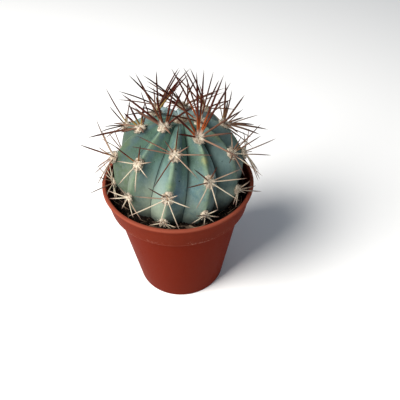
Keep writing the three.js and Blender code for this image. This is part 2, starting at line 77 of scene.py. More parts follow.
def pick(sockets: Any, key: int | str) -> bpy.types.NodeSocket:
    """Return one of a node's sockets by its index or identifier."""
    if isinstance(key, int):
        return sockets[key]
    return next(socket for socket in sockets if socket.identifier == key)


def add_node(
    tree: bpy.types.NodeTree, kind: str, settings: Settings | None = None,
    sockets: Sockets | None = None,
) -> bpy.types.Node:
    """Add one node to a shader's or a geometry's tree.

    Args:
        tree: The tree.
        kind: The node's type.
        settings: Its settings, set before its sockets.
        sockets: Constants or sockets to link, by the input's index or identifier; a list links
            each of its sockets to one input.

    Returns:
        The node.
    """
    node = tree.nodes.new(kind)
    for key, setting in (settings or {}).items():
        setattr(node, key, setting)
    for key, given in (sockets or {}).items():
        socket = pick(node.inputs, key)
        for one in given if isinstance(given, list) else [given]:
            if isinstance(one, bpy.types.NodeSocket):
                tree.links.new(one, socket)
            elif socket.type == "RGBA":
                socket.default_value = (*one, 1.0)
            else:
                socket.default_value = one
    return node


class Value:
    """A shader socket that Python's operators turn into Math nodes."""

    def __init__(self, shader: "Shader", socket: bpy.types.NodeSocket) -> None:
        """Keep the shader that owns the socket."""
        self.shader = shader
        self.socket = socket

    def _math(self, operation: str, a: "Operand", b: "Operand") -> "Value":
        """Add a Math node and return its result."""
        return self.shader.node("ShaderNodeMath", {"operation": operation}, {0: a, 1: b})

    def __add__(self, other: "Operand") -> "Value":
        """Return self + other."""
        return self._math("ADD", self, other)

    def __radd__(self, other: "Operand") -> "Value":
        """Return other + self."""
        return self._math("ADD", other, self)

    def __sub__(self, other: "Operand") -> "Value":
        """Return self - other."""
        return self._math("SUBTRACT", self, other)

    def __rsub__(self, other: "Operand") -> "Value":
        """Return other - self."""
        return self._math("SUBTRACT", other, self)

    def __mul__(self, other: "Operand") -> "Value":
        """Return self * other."""
        return self._math("MULTIPLY", self, other)

    def __rmul__(self, other: "Operand") -> "Value":
        """Return other * self."""
        return self._math("MULTIPLY", other, self)


Operand = Union[Value, float]


class Shader:
    """Builds the node tree of one material, by laying colours on its base colour."""

    def __init__(self, name: str, base: Colour) -> None:
        """Start an empty material.

        Args:
            name: The material's name.
            base: The colour that the others are laid on.
        """
        self.base: Value | Colour = base
        self.material = bpy.data.materials.new(name)
        self.material.use_nodes = True
        self.tree = self.material.node_tree
        self.tree.nodes.clear()

    def node(
        self, kind: str, settings: Settings | None = None, sockets: Sockets | None = None,
        output: int = 0,
    ) -> Value:
        """Add one node.

        Args:
            kind: The node's type.
            settings: Its settings.
            sockets: Values or constants by the input's index or identifier.
            output: Which output to return.

        Returns:
            The output as a value.
        """
        bare = {
            key: given.socket if isinstance(given, Value) else given
            for key, given in (sockets or {}).items()
        }
        return Value(self, add_node(self.tree, kind, settings, bare).outputs[output])

    def place_mm(self) -> Value:
        """Return the object coordinates in millimetres."""
        place = self.node("ShaderNodeTexCoord", output=3)
        return self.stretched(place, (1 / MM, 1 / MM, 1 / MM))

    def stretched(self, vector: Value, by: Point) -> Value:
        """Return a vector multiplied axis by axis."""
        return self.node("ShaderNodeVectorMath", {"operation": "MULTIPLY"}, {0: vector, 1: by})

    def part(self, vector: Value, axis: Axis) -> Value:
        """Return one part of a vector."""
        return self.node("ShaderNodeSeparateXYZ", {}, {"Vector": vector}, output=axis.value)

    def attribute(self, name: str) -> Value:
        """Return a number stored on the mesh."""
        return self.node("ShaderNodeAttribute", {"attribute_name": name}, output=2)

    def noise(
        self, vector: Value, scale: float, detail: float = 3.0, roughness: float = 0.5,
        distortion: float = 0.0,
    ) -> Value:
        """Return fractal noise from 0 to 1.

        Args:
            vector: Where to read the noise.
            scale: Features per unit of the vector.
            detail: Octaves.
            roughness: Weight of the finer octaves.
            distortion: How far the pattern is warped.

        Returns:
            The noise.
        """
        return self.node(
            "ShaderNodeTexNoise", {},
            {"Vector": vector, "Scale": scale, "Detail": detail, "Roughness": roughness,
             "Distortion": distortion},
        )

    def cells(self, vector: Value, scale: float) -> Value:
        """Return the distance to the nearest of many scattered points."""
        return self.node("ShaderNodeTexVoronoi", {}, {"Vector": vector, "Scale": scale})

    def band(self, value: Operand, low: float, high: float) -> Value:
        """Return a smooth step, 0 below low and 1 above high (or the other way if low > high)."""
        return self.node(
            "ShaderNodeMapRange", {"interpolation_type": "SMOOTHSTEP"},
            {"Value": value, "From Min": low, "From Max": high},
        )

    def between(
        self, value: Value, start: float, full: float, fading: float, end: float
    ) -> Value:
        """Return 1 from full to fading, and 0 before start and after end."""
        return self.band(value, start, full) * self.band(value, end, fading)

    def mix(self, factor: Operand, a: Value | Colour, b: Value | Colour) -> Value:
        """Return colour a turned into colour b by a factor."""
        return self.node(
            "ShaderNodeMix", {"data_type": "RGBA"},
            {"Factor_Float": factor, "A_Color": a, "B_Color": b}, output=2,
        )

    def lay(self, factor: Operand, colour: Value | Colour) -> None:
        """Lay a colour on the base colour by a factor."""
        self.base = self.mix(factor, self.base, colour)

    def lighten(self, by: Operand) -> None:
        """Make the base colour lighter or darker by a factor."""
        self.base = self.node(
            "ShaderNodeVectorMath", {"operation": "SCALE"}, {0: self.base, "Scale": by})

    def finish(
        self, roughness: Operand, height: Value, height_mm: float,
        constants: Settings | None = None,
    ) -> bpy.types.Material:
        """End the material in a Principled shader with a bump.

        Args:
            roughness: Its roughness.
            height: The relief, from 0 to 1.
            height_mm: How high the relief stands.
            constants: Other Principled inputs by name, each the same all over.

        Returns:
            The finished material.
        """
        bump = self.node(
            "ShaderNodeBump", {},
            {"Height": height, "Distance": height_mm * MM, "Strength": 1.0},
        )
        sockets = {"Base Color": self.base, "Roughness": roughness, "Normal": bump}
        surface = self.node("ShaderNodeBsdfPrincipled", {}, {**sockets, **(constants or {})})
        add_node(self.tree, "ShaderNodeOutputMaterial", {}, {"Surface": surface.socket})
        return self.material


@dataclass(frozen=True)
class PlasticFinish:
    """Thin moulded terracotta-red plastic with dust, light scuffs and painted edge highlights."""

    body: Colour = (0.13, 0.016, 0.006)
    deep: Colour = (0.115, 0.0134, 0.0048)
    # worn is rubbed plastic; it also makes the painted highlights on the lip and band foot
    worn: Colour = (0.23, 0.056, 0.033)
    shadowed: Colour = (0.118, 0.0095, 0.0022)
    dust: Colour = (0.42, 0.24, 0.18)
    stain: Colour = (0.05, 0.018, 0.012)
    roughness: float = 0.5
    specular: float = 0.01
    relief_mm: float = 0.05
    lip: Span = (46.9, 47.7)
    band_foot: float = 38.8
    shadow_share: float = 0.8
    lip_highlight: float = 0.85
    flow_wear: float = 0.05
    scuff_dust: float = 0.05
    chalk_everywhere: float = 0.015
    chalk_at_ledge: float = 0.35
    stain_share: float = 0.7

    def build(self) -> bpy.types.Material:
        """Build the material.

        Returns:
            The material.
        """
        s = Shader("terracotta_plastic", self.deep)
        place = s.place_mm()
        height = s.part(place, Axis.UP)
        foot = self.band_foot
        cloud = s.noise(place, 0.09, 3.0, 0.55)
        flow = s.noise(s.stretched(place, (1.0, 1.0, 0.12)), 0.55, 4.0, 0.6, 0.4)
        grain = s.noise(place, 4.5, 3.0, 0.6)
        s.lay(s.band(cloud, 0.35, 0.65), self.body)
        s.lay(s.band(flow, 0.55, 0.85) * self.flow_wear, self.worn)
        below = s.band(height, foot + 0.2, foot - 0.2)
        s.lay(below * self.shadow_share, self.shadowed)
        # Painted highlight: a lighter band along the top of the lip.
        s.lay(s.band(height, *self.lip) * self.lip_highlight, self.worn)
        # Painted highlight, with some wear: a lighter line along the band's foot edge.
        ledge = s.between(height, foot - 0.1, foot + 0.1, foot + 0.35, foot + 0.75)
        s.lay(ledge * (0.2 + 0.35 * s.band(flow, 0.4, 0.7)), self.worn)

        scratch = s.noise(s.stretched(place, (0.5, 0.5, 2.4)), 0.9, 6.0, 0.75, 0.8)
        scuff = s.band(scratch, 0.6, 0.74) * s.band(s.noise(place, 0.16, 2.0), 0.45, 0.65)
        s.lay(scuff * self.scuff_dust, self.dust)
        chalk_grains = s.band(s.noise(place, 1.7, 4.0, 0.7), 0.54, 0.66)
        chalk = chalk_grains * s.band(s.noise(place, 0.22, 2.0), 0.44, 0.56)
        near_ledge = s.between(height, foot - 1.2, foot, foot + 0.4, foot + 2.9)
        share = self.chalk_everywhere + self.chalk_at_ledge * near_ledge
        s.lay(chalk * share, self.dust)
        stained = s.band(s.noise(place, 0.3, 1.0), 0.5, 0.6)
        speck = s.band(s.cells(place, 0.62), 0.1, 0.04) * stained
        s.lay(speck * self.stain_share, self.stain)

        rough = self.roughness + 0.16 * (grain - 0.5) + 0.2 * scuff + 0.1 * (cloud - 0.5)
        relief = 0.5 * grain + 0.5 * flow - 0.4 * scuff
        return s.finish(rough, relief, self.relief_mm, {"Specular IOR Level": self.specular})


@dataclass(frozen=True)
class SoilFinish:
    """Dark moist potting soil."""

    wet: Colour = (0.0045, 0.003, 0.0025)
    crumb: Colour = (0.019, 0.012, 0.0085)
    dry: Colour = (0.08, 0.05, 0.032)
    specular: float = 0.04
    relief_mm: float = 0.25

    def build(self) -> bpy.types.Material:
        """Build the material.

        Returns:
            The material, which reads how dry each crumb is.
        """
        s = Shader("potting_soil", self.wet)
        place = s.place_mm()
        patches = s.noise(place, 0.5, 4.0, 0.65)
        grains = s.noise(place, 2.6, 5.0, 0.7)
        s.lay(s.band(grains, 0.35, 0.7), self.crumb)
        s.lay(s.band(patches, 0.62, 0.8) * 0.4, self.dry)
        s.lay(s.band(s.attribute("tone"), 0.9, 1.0) * 0.7, self.dry)
        return s.finish(
            0.8 + 0.15 * grains, grains, self.relief_mm, {"Specular IOR Level": self.specular},
        )


@dataclass(frozen=True)
class FibreFinish:
    """Brown root and coir fibres in the soil."""

    brown: Colour = (0.065, 0.036, 0.022)
    straw: Colour = (0.19, 0.125, 0.078)
    relief_mm: float = 0.04

    def build(self) -> bpy.types.Material:
        """Build the material.

        Returns:
            The material, which reads how pale each fibre is.
        """
        s = Shader("soil_fibre", self.brown)
        strands = s.noise(s.place_mm(), 3.0, 4.0, 0.6)
        s.lay(s.band(s.attribute("tone") * 0.7 + strands * 0.5, 0.45, 0.8), self.straw)
        return s.finish(0.75 + 0.1 * strands, strands, self.relief_mm)


class SkinShader(Shader):
    """The skin's shader, with the places, numbers and noises that its colours follow."""

    def __init__(self, base: Colour) -> None:
        """Read them all.

        Args:
            base: The colour that the others are laid on.
        """
        super().__init__("glaucous_skin", base)
        self.place = self.place_mm()
        self.right, self.back, self.height = (self.part(self.place, axis) for axis in Axis)
        self.across = self.attribute("across")
        self.lee = self.attribute("lee")
        self.left = self.attribute("mossy")
        self.cloud = self.noise(self.place, 0.12, 4.0, 0.6, 0.3)
        self.mottle = self.noise(self.place, 0.55, 5.0, 0.65, 0.25)
        self.fine = self.noise(self.place, 3.6, 4.0, 0.65)
        tall = self.stretched(self.place, (1.0, 1.0, 0.22))
        self.streaks = self.noise(tall, 1.1, 5.0, 0.65, 0.35)
        self.high = self.band(self.broken(self.height, cloud=6.0), 53.0, 61.0)
        on_foot = self.band(self.broken(self.height, cloud=8.0), 64.0, 57.0)
        self.mossy = self.left * (0.35 + 0.65 * on_foot)
        self.low_moss = self.mossy * self.band(self.height, 60.0, 54.0)
        self.near_crest = self.band(self.broken(self.across, cloud=0.3, mottle=0.3), 0.34, 0.02)
        self.third_rib = self.band(self.right, 11.0, 14.0) * self.between(
            self.height, 52.0, 55.0, 67.0, 72.0)

    def broken(self, value: Value, **moves: float) -> Value:
        """Return a value that the noises move up and down, so that its edges break up.

        Args:
            value: The value.
            **moves: How much each noise moves it, by the noise's name.

        Returns:
            The moved value.
        """
        for name, share in moves.items():
            value = value + share * (getattr(self, name) - 0.5)
        return value


@dataclass(frozen=True)
class SkinFinish:
    """Waxy blue-green cactus skin with pale, streaked rib crests, and painted light and shade.

    Spans are heights over the floor, or places to the right of the pot's middle.
    """

    bloom: Colour = (0.135, 0.185, 0.168)
    shade: Colour = (0.064, 0.116, 0.108)
    blue: Colour = (0.058, 0.106, 0.152)
    leaf: Colour = (0.088, 0.142, 0.074)
    dark_leaf: Colour = (0.055, 0.115, 0.052)
    deep: Colour = (0.07, 0.13, 0.075)
    moss: Colour = (0.12, 0.168, 0.1)
    grey_green: Colour = (0.165, 0.205, 0.17)
    pale: Colour = (0.225, 0.26, 0.19)
    frost: Colour = (0.36, 0.47, 0.5)
    sky: Colour = (0.17, 0.26, 0.255)
    slate: Colour = (0.05, 0.09, 0.085)
    crest: Colour = (0.18, 0.25, 0.165)
    ochre: Colour = (0.3, 0.29, 0.12)
    dots: Colour = (0.3, 0.37, 0.34)
    furrow: Colour = (0.012, 0.026, 0.026)
    speck: Colour = (0.02, 0.035, 0.03)
    cork: Colour = (0.22, 0.22, 0.15)
    felt: Colour = (0.28, 0.29, 0.22)
    sheen: Colour = (0.75, 0.88, 0.9)
    specular: float = 0.07
    relief_mm: float = 0.1
    crown: Span = (58.0, 67.0)
    pale_foot: Span = (56.0, 47.0)
    slate_top: Span = (57.0, 66.0)
    east: Span = (8.0, 16.0)
    above_rim: Span = (48.0, 54.0)
    west: Span = (1.0, -4.0)
    west_foot: Span = (65.0, 57.0)
    sky_side: Span = (7.0, 13.0)
    sky_top: Span = (58.0, 63.0)
    frost_back: Span = (0.0, 6.0)
    frost_top: Span = (62.0, 68.0)
    crest_top: Span = (55.0, 61.0)
    front_side: tuple[float, ...] = (-8.5, -6.0, -3.5, -1.0)
    front_height: tuple[float, ...] = (54.0, 57.0, 64.0, 68.0)
    outer_left: Span = (-13.0, -18.0)
    shaded_foot: Span = (49.0, 44.5)

    def build(self) -> bpy.types.Material:
        """Build the material.

        Returns:
            The material.
        """
        s = SkinShader(self.shade)
        self._faces(s)
        self._sides(s)
        self._crests(s)
        worn = s.attribute("worn")
        s.lay(s.band(s.broken(worn, mottle=0.8), 0.05, 0.45) * 0.5, self.leaf)
        scarred = s.band(s.broken(worn, mottle=1.2, fine=0.8), 0.5, 0.95)
        s.lay(scarred * 0.55, self.ochre)
        s.lay(s.band(s.cells(s.place, 1.9), 0.28, 0.12) * 0.16, self.dots)
        specked = s.band(s.noise(s.place, 0.19, 1.0), 0.5, 0.58)
        speck = s.band(s.cells(s.place, 0.33), 0.12, 0.06) * specked
        s.lay(speck * 0.9, self.speck)

        self._tones(s)
        rough = s.broken(0.52 + 0.12 * scarred, mottle=0.16, fine=0.14)
        relief = 0.55 * s.fine + 0.45 * s.mottle - 0.3 * speck + 0.15 * scarred
        return s.finish(
            rough, relief, self.relief_mm,
            {"Specular IOR Level": self.specular, "Sheen Weight": 0.05,
             "Sheen Roughness": 0.5, "Sheen Tint": self.sheen},
        )

    def _faces(self, s: SkinShader) -> None:
        """Lay the bloom and the blue, green and mossy patches; the blue also paints shade.

        Args:
            s: The skin's shader.
        """
        s.lay(s.band(s.broken(s.cloud, mottle=0.5), 0.36, 0.64), self.bloom)
        face = s.band(s.broken(s.across, cloud=0.3), 0.1, 0.4)
        bluish = s.band(s.broken(s.streaks, mottle=0.35), 0.22, 0.5)
        # Painted shade in part: more blue on each rib's shaded right face.
        share = (0.35 + 0.5 * s.lee) * (0.45 + 0.6 * s.high)
        s.lay(face * bluish * share, self.blue)
        green = s.band(s.broken(s.mottle, cloud=0.3, streaks=0.4), 0.42, 0.66)
        s.lay(green * (0.3 + 0.5 * s.mossy - 0.2 * s.lee), self.leaf)
        s.lay(s.mossy * (0.2 + 0.3 * s.band(s.cloud, 0.35, 0.6)), self.moss)
        beside = s.band(s.broken(s.across, streaks=0.35), 0.15, 0.7)
        s.lay(s.band(s.height, *self.crown) * beside * 0.85, self.deep)
        patches = s.band(s.broken(s.cloud, mottle=0.3), 0.42, 0.6)
        s.lay(s.near_crest * patches * 0.6, self.leaf)

    def _sides(self, s: SkinShader) -> None:
        """Turn the colour by height and by side, and paint light on some lit faces.

        Args:
            s: The skin's shader.
        """
        rough_height = s.broken(s.height, cloud=6.0)
        foot = s.band(rough_height, *self.pale_foot)
        s.lay(foot * (0.25 + 0.4 * s.band(s.mottle, 0.3, 0.6)), self.grey_green)
        upper = s.band(rough_height, *self.slate_top)
        s.lay(upper * (0.55 - 0.4 * s.lee), self.slate)
        # Painted light: the lit faces on the right side made paler.
        east = s.band(s.right, *self.east) * (1.0 - 0.8 * s.lee)
        east = east * s.band(s.height, *self.above_rim)
        s.lay(east * (0.5 - 0.3 * s.third_rib), self.grey_green)
        # Painted light: the lit faces left of the middle, low down, made paler.
        west = s.band(s.right, *self.west)
        west = west * s.band(s.broken(s.height, cloud=8.0), *self.west_foot)
        s.lay(west * (1.0 - 0.65 * s.lee) * 0.6, self.pale)
        s.lay(s.near_crest * s.low_moss * 0.6, self.dark_leaf)
        # Painted light: a pale sky-lit patch on the high ribs at the right.
        sky = s.band(s.right, *self.sky_side) * s.band(s.height, *self.sky_top)
        s.lay(sky * 0.65, self.sky)
        behind = s.band(s.back, *self.frost_back) * s.band(s.height, *self.frost_top)
        s.lay(behind * (0.3 + 0.4 * s.band(s.cloud, 0.4, 0.6)), self.frost)

    def _crests(self, s: SkinShader) -> None:
        """Draw the paler upper crests and a painted highlight along each crest's edge.

        Args:
            s: The skin's shader.
        """
        top = s.band(s.broken(s.across, mottle=0.15), 0.32, 0.06)
        top = top * s.band(s.height, *self.crest_top) * (1.0 - 0.7 * s.lee)
        s.lay(top * (0.25 + 0.4 * s.band(s.streaks, 0.4, 0.6)), self.crest)
        # Painted highlight: a thin pale line along each crest.
        edge = s.band(s.broken(s.across, mottle=0.2, streaks=0.2), 0.09, 0.0)
        spared = 1.0 - 0.8 * s.low_moss
        s.lay(edge * s.band(s.mottle, 0.3, 0.6) * spared * 0.55, self.crest)

    def _tones(self, s: SkinShader) -> None:
        """Vary the skin's tone in patches; paint light and shade by side and in its hollows.

        Args:
            s: The skin's shader.
        """
        tall = s.stretched(s.place, (1.0, 1.0, 0.6))
        s.lighten(0.66 + 0.84 * s.noise(tall, 0.85, 5.0, 0.75, 0.4))
        # Painted highlight on the lit faces of the front rib.
        front = s.between(s.right, *self.front_side) * (1.0 - s.lee)
        front = front * s.between(s.height, *self.front_height)
        s.lay(front * 0.36, self.sky)
        outer = s.left * s.band(s.right, *self.outer_left) * s.band(s.mottle, 0.3, 0.6)
        s.lay(outer * 0.6, self.leaf)
        # Painted shade: the left side and the third rib on the right made darker.
        s.lighten((1.0 - 0.34 * s.left) * (1.0 - 0.32 * s.third_rib))
        # Painted shade: a dark line down each furrow.
        s.lay(s.band(s.across, 0.955, 1.0), self.furrow)
        low = s.attribute("low") * s.band(s.mottle, 0.35, 0.6)
        s.lay(low * 0.2, self.cork)
        # Painted light and shade: faces lighter or darker by how they turn to the light near the
        # furrow.
        turned = s.attribute("turned") * (0.15 + 0.5 * s.high) * (1.0 - 0.9 * s.left)
        s.lighten((1.0 + turned) * (1.0 - 0.1 * s.lee))
        # Painted shade: darker towards the soil.
        s.lighten(1.0 - 0.6 * s.band(s.height, *self.shaded_foot))
        s.lay(s.band(s.attribute("felt"), 0.5, 0.95) * 0.5, self.felt)


@dataclass(frozen=True)
class SpineFinish:
    """Horny spines that age from red-brown at the crown to ivory on the flanks."""

    ivory: Colour = (0.45, 0.385, 0.29)
    ivory_tip: Colour = (0.24, 0.165, 0.13)
    rose: Colour = (0.19, 0.115, 0.08)
    rose_tip: Colour = (0.07, 0.04, 0.032)
    young: Colour = (0.055, 0.0115, 0.0075)
    young_tip: Colour = (0.026, 0.007, 0.005)
    tan: Colour = (0.15, 0.075, 0.04)
    ember: Colour = (0.3, 0.068, 0.018)
    olive: Colour = (0.3, 0.22, 0.06)
    wool: Colour = (0.6, 0.54, 0.44)
    specular: float = 0.05
    relief_mm: float = 0.03
    translucence: float = 0.05
    translucence_mm: float = 0.8

    def build(self) -> bpy.types.Material:
        """Build the material.

        Returns:
            The material, which reads each spine's own numbers along it.
        """
        s = Shader("spine", self.ivory)
        place = s.place_mm()
        along = s.attribute("along")
        dark = s.attribute("dark")
        tone = s.attribute("tone")
        grain = s.noise(place, 2.2, 4.0, 0.6)
        reach = along + 0.2 * (tone - 0.5) + 0.2 * (grain - 0.5)
        s.lay(s.band(reach, 0.55, 0.98), self.ivory_tip)
        middle = s.mix(s.band(reach, 0.45, 0.95), self.rose, self.rose_tip)
        root = s.mix(s.attribute("ember"), self.olive, self.ember)
        young = s.mix(s.band(tone, 0.6, 1.4) * 0.9, self.young, self.tan)
        young = s.mix(s.attribute("warm") * s.band(reach, 0.44, 0.14), young, root)
        young = s.mix(s.band(reach, 0.5, 0.95), young, self.young_tip)
        s.lay(s.band(dark + 0.15 * (grain - 0.5), 0.05, 0.5), middle)
        s.lay(s.band(dark, 0.5, 0.95), young)
        s.lay(s.band(along, 0.14, 0.04) * 0.7, self.wool)
        rings = s.noise(place, 4.8, 3.0, 0.7)
        return s.finish(
            0.38 + 0.2 * grain, rings, self.relief_mm,
            {"Specular IOR Level": self.specular, "Subsurface Weight": self.translucence,
             "Subsurface Scale": self.translucence_mm * MM},
        )


@dataclass(frozen=True)
class WoolFinish:
    """Cream areole wool, greyer and browner with age."""

    cream: Colour = (0.52, 0.46, 0.36)
    grey: Colour = (0.36, 0.24, 0.18)
    brown: Colour = (0.24, 0.15, 0.09)
    specular: float = 0.1
    sheen: float = 0.1
    sheen_roughness: float = 0.4
    relief_mm: float = 0.12

    def build(self) -> bpy.types.Material:
        """Build the material.

        Returns:
            The material, which reads the wool's age and its pits.
        """
        s = Shader("areole_wool", self.cream)
        place = s.place_mm()
        clumps = s.noise(place, 1.1, 4.0, 0.6)
        strands = s.noise(place, 6.0, 3.0, 0.7)
        s.lay(s.band(clumps, 0.42, 0.72) * 0.55, self.grey)
        browned = s.band(s.attribute("tone"), 0.55, 1.0) * s.band(clumps, 0.4, 0.6)
        s.lay(browned, self.brown)
        s.lay(s.attribute("pit") * 0.8, self.brown)
        return s.finish(
            0.85 + 0.1 * strands, strands, self.relief_mm,
            {"Specular IOR Level": self.specular, "Sheen Weight": self.sheen,
             "Sheen Roughness": self.sheen_roughness},
        )


@dataclass(frozen=True)
class FloorFinish:
    """A plain pale studio floor."""

    tone: Colour = (0.93, 0.925, 0.92)
    cloud: Colour = (0.88, 0.88, 0.88)

    def build(self) -> bpy.types.Material:
        """Build the material.

        Returns:
            The material.
        """
        s = Shader("studio_floor", self.tone)
        grain = s.noise(s.place_mm(), 0.02, 2.0)
        s.lay(grain * 0.04, self.cloud)
        return s.finish(0.9, grain, 0.01)


class GeometryTree:
    """Builds one Geometry Nodes tree and runs it on a mesh."""

    def __init__(self, name: str) -> None:
        """Start a tree that takes and gives geometry.

        Args:
            name: The tree's name.
        """
        self.group = bpy.data.node_groups.new(name, "GeometryNodeTree")
        for way in ("INPUT", "OUTPUT"):
            self.group.interface.new_socket(
                "Geometry", in_out=way, socket_type="NodeSocketGeometry")
        self.entry = add_node(self.group, "NodeGroupInput")
        self.sizes: dict[str, float] = {}

    @property
    def geometry(self) -> bpy.types.NodeSocket:
        """Return the geometry that comes in."""
        return self.entry.outputs[0]

    def size(self, name: str, value: float) -> bpy.types.NodeSocket:
        """Add a named input.

        Args:
            name: The input's name.
            value: Its value; an int makes it a whole number.

        Returns:
            The socket that holds it inside the tree.
        """
        kind = "NodeSocketInt" if isinstance(value, int) else "NodeSocketFloat"
        item = self.group.interface.new_socket(name, in_out="INPUT", socket_type=kind)
        item.default_value = value
        self.sizes[item.identifier] = value
        return pick(self.entry.outputs, item.identifier)

    def node(
        self, kind: str, settings: Settings | None = None, sockets: Sockets | None = None,
        output: int | str = 0,
    ) -> bpy.types.NodeSocket:
        """Add one node and return one of its outputs."""
        return pick(add_node(self.group, kind, settings, sockets).outputs, output)

    def random(self, low: float, high: float, seed: Any) -> bpy.types.NodeSocket:
        """Return a random number for each element."""
        return self.node(
            "FunctionNodeRandomValue", {"data_type": "FLOAT"},
            {"Min_001": low, "Max_001": high, "Seed": seed}, output=1,
        )

    def random_vector(self, low: Point, high: Point, seed: Any) -> bpy.types.NodeSocket:
        """Return a random vector for each element."""
        return self.node(
            "FunctionNodeRandomValue", {"data_type": "FLOAT_VECTOR"},
            {"Min": low, "Max": high, "Seed": seed},
        )

    def times(self, a: Any, b: Any) -> bpy.types.NodeSocket:
        """Return a product of two numbers."""
        return self.node("ShaderNodeMath", {"operation": "MULTIPLY"}, {0: a, 1: b})

    def times_named(self, number: Any, name: str) -> bpy.types.NodeSocket:
        """Return a number times one that the mesh carries."""
        carried = self.node(
            "GeometryNodeInputNamedAttribute", {"data_type": "FLOAT"}, {"Name": name})
        return self.times(number, carried)

    def scatter(self, density: Any, weight: str, seed: Any) -> bpy.types.Node:
        """Scatter points over the mesh that comes in.

        Args:
            density: Points for each square metre where the weight is 1.
            weight: The name of the mesh's number that thins them out.
            seed: The seed.

        Returns:
            The node, with outputs Points and Rotation.
        """
        return add_node(
            self.group, "GeometryNodeDistributePointsOnFaces", {},
            {"Mesh": self.geometry, "Density": self.times_named(density, weight), "Seed": seed},
        )

    def tube(self, line: Any, radius: Any, sides: Any, scale: Any = 1.0) -> bpy.types.NodeSocket:
        """Give a line a round body with closed ends.

        Args:
            line: The curve.
            radius: The body's radius.
            sides: Its sides.
            scale: A factor on its radius along the line.

        Returns:
            The body.
        """
        ring = self.node(
            "GeometryNodeCurvePrimitiveCircle", {"mode": "RADIUS"},
            {"Resolution": sides, "Radius": radius},
        )
        return self.node(
            "GeometryNodeCurveToMesh", {},
            {"Curve": line, "Profile Curve": ring, "Scale": scale, "Fill Caps": True},
        )

    def close(self, geometry: Any, material: bpy.types.Material) -> None:
        """End the tree in real, smooth geometry with a material.

        Args:
            geometry: The geometry, or a list of what is joined.
            material: The material.
        """
        if isinstance(geometry, list):
            geometry = self.node("GeometryNodeJoinGeometry", {}, {"Geometry": geometry})
        real = self.node("GeometryNodeRealizeInstances", {}, {"Geometry": geometry})
        soft = self.node("GeometryNodeSetShadeSmooth", {}, {"Geometry": real})
        dressed = self.node(
            "GeometryNodeSetMaterial", {}, {"Geometry": soft, "Material": material})
        add_node(self.group, "NodeGroupOutput", {}, {0: dressed})

    def run(self, mesh: bpy.types.Mesh, name: str) -> bpy.types.Mesh:
        """Run the tree on a mesh.

        Args:
            mesh: The mesh that goes in.
            name: A name for the result.

        Returns:
            A plain mesh.
        """
        carrier = bpy.data.objects.new(name + "_carrier", mesh)
        bpy.context.scene.collection.objects.link(carrier)
        modifier = carrier.modifiers.new(self.group.name, "NODES")
        modifier.node_group = self.group
        for identifier, value in self.sizes.items():
            modifier[identifier] = value
        graph = bpy.context.evaluated_depsgraph_get()
        result = bpy.data.meshes.new_from_object(carrier.evaluated_get(graph))
        result.name = name
        carrier.modifiers.clear()
        bpy.data.objects.remove(carrier)
        return result


class MeshMaker:
    """Gathers points, faces and numbers on points into one mesh."""

    def __init__(self) -> None:
        """Start empty."""
        self.points: list[Array] = []
        self.faces: list[Array] = []
        self.edges: list[Array] = []
        self.numbers: dict[str, list[Array]] = {}
        self.count = 0

    def add(self, points: Array, faces: Array | None = None, edges: Array | None = None,
            **numbers: Array | float) -> None:
        """Add a patch.

        Args:
            points: Its points in millimetres, one a row.
            faces: Its faces as rows of four point indices; a triangle's last two are alike.
            edges: Its loose edges.
            **numbers: A number, or one for each point, by the attribute's name.
        """
        self.points.append(points)
        if faces is not None:
            self.faces.append(faces + self.count)
        if edges is not None:
            self.edges.append(edges + self.count)
        for key, given in numbers.items():
            row = np.broadcast_to(given, (len(points),)).astype(float)
            self.numbers.setdefault(key, []).append(row)
        self.count += len(points)

    def mesh(self, name: str) -> bpy.types.Mesh:
        """Make the mesh, in metres.

        Args:
            name: Its name.

        Returns:
            The mesh.
        """
        made = bpy.data.meshes.new(name)
        points = np.concatenate(self.points) * MM
        edges = np.concatenate(self.edges).tolist() if self.edges else []
        faces: list[list[int]] = []
        for block in self.faces:
            for row in block.tolist():
                faces.append(row[:3] if len(row) == 4 and row[3] == row[2] else row)
        made.from_pydata(points.tolist(), edges, faces)
        for key, rows in self.numbers.items():
            layer = made.attributes.new(key, "FLOAT", "POINT")
            layer.data.foreach_set("value", np.concatenate(rows).astype(np.float32))
        made.shade_smooth()
        made.update()
        return made


def closed_grid(rows: int, columns: int) -> Array:
    """Return the faces of a grid that closes round, with one pole point before and after its rows.

    Args:
        rows: Rings of points.
        columns: Points in a ring.

    Returns:
        Faces for points laid out as first pole, rings, last pole; the first pole is at the top.
    """
    k = np.arange(columns)
    n = (k + 1) % columns
    faces = [np.stack([np.zeros(columns, int), 1 + k, 1 + n, 1 + n], 1)]
    for row in range(rows - 1):
        a = 1 + row * columns
        b = a + columns
        faces.append(np.stack([a + k, b + k, b + n, a + n], 1))
    last = 1 + rows * columns
    a = last - columns
    faces.append(np.stack([a + k, np.full(columns, last), a + n, a + n], 1))
    return np.concatenate(faces)


def place_object(
    name: str, mesh: bpy.types.Mesh, material: bpy.types.Material | None = None
) -> bpy.types.Object:
    """Put a mesh in the scene as a piece that rides on the part's body.

    Args:
        name: The piece's name.
        mesh: Its mesh, in place.
        material: Its material, where the mesh has none yet.

    Returns:
        The object.
    """
    piece = bpy.data.objects.new(name, mesh)
    bpy.context.scene.collection.objects.link(piece)
    if material is not None:
        mesh.materials.clear()
        mesh.materials.append(material)
    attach(piece, "root")
    LOG.info("%s: %d points, %d faces", name, len(mesh.vertices), len(mesh.polygons))
    return piece


def fractal(points: Array, scale: float, octaves: int = 3, offset: float = 0.0) -> Array:
    """Return smooth noise, about -1 to 1, at each point.

    Args:
        points: Points, one a row.
        scale: Features per millimetre.
        octaves: Octaves.
        offset: Moves the pattern.

    Returns:
        One number for each point.
    """
    move = Vector((offset, 1.7 * offset, -0.6 * offset))
    places = (Vector(p) * scale + move for p in points.tolist())
    return np.array([noise.fractal(place, 1.0, 2.0, octaves) for place in places])


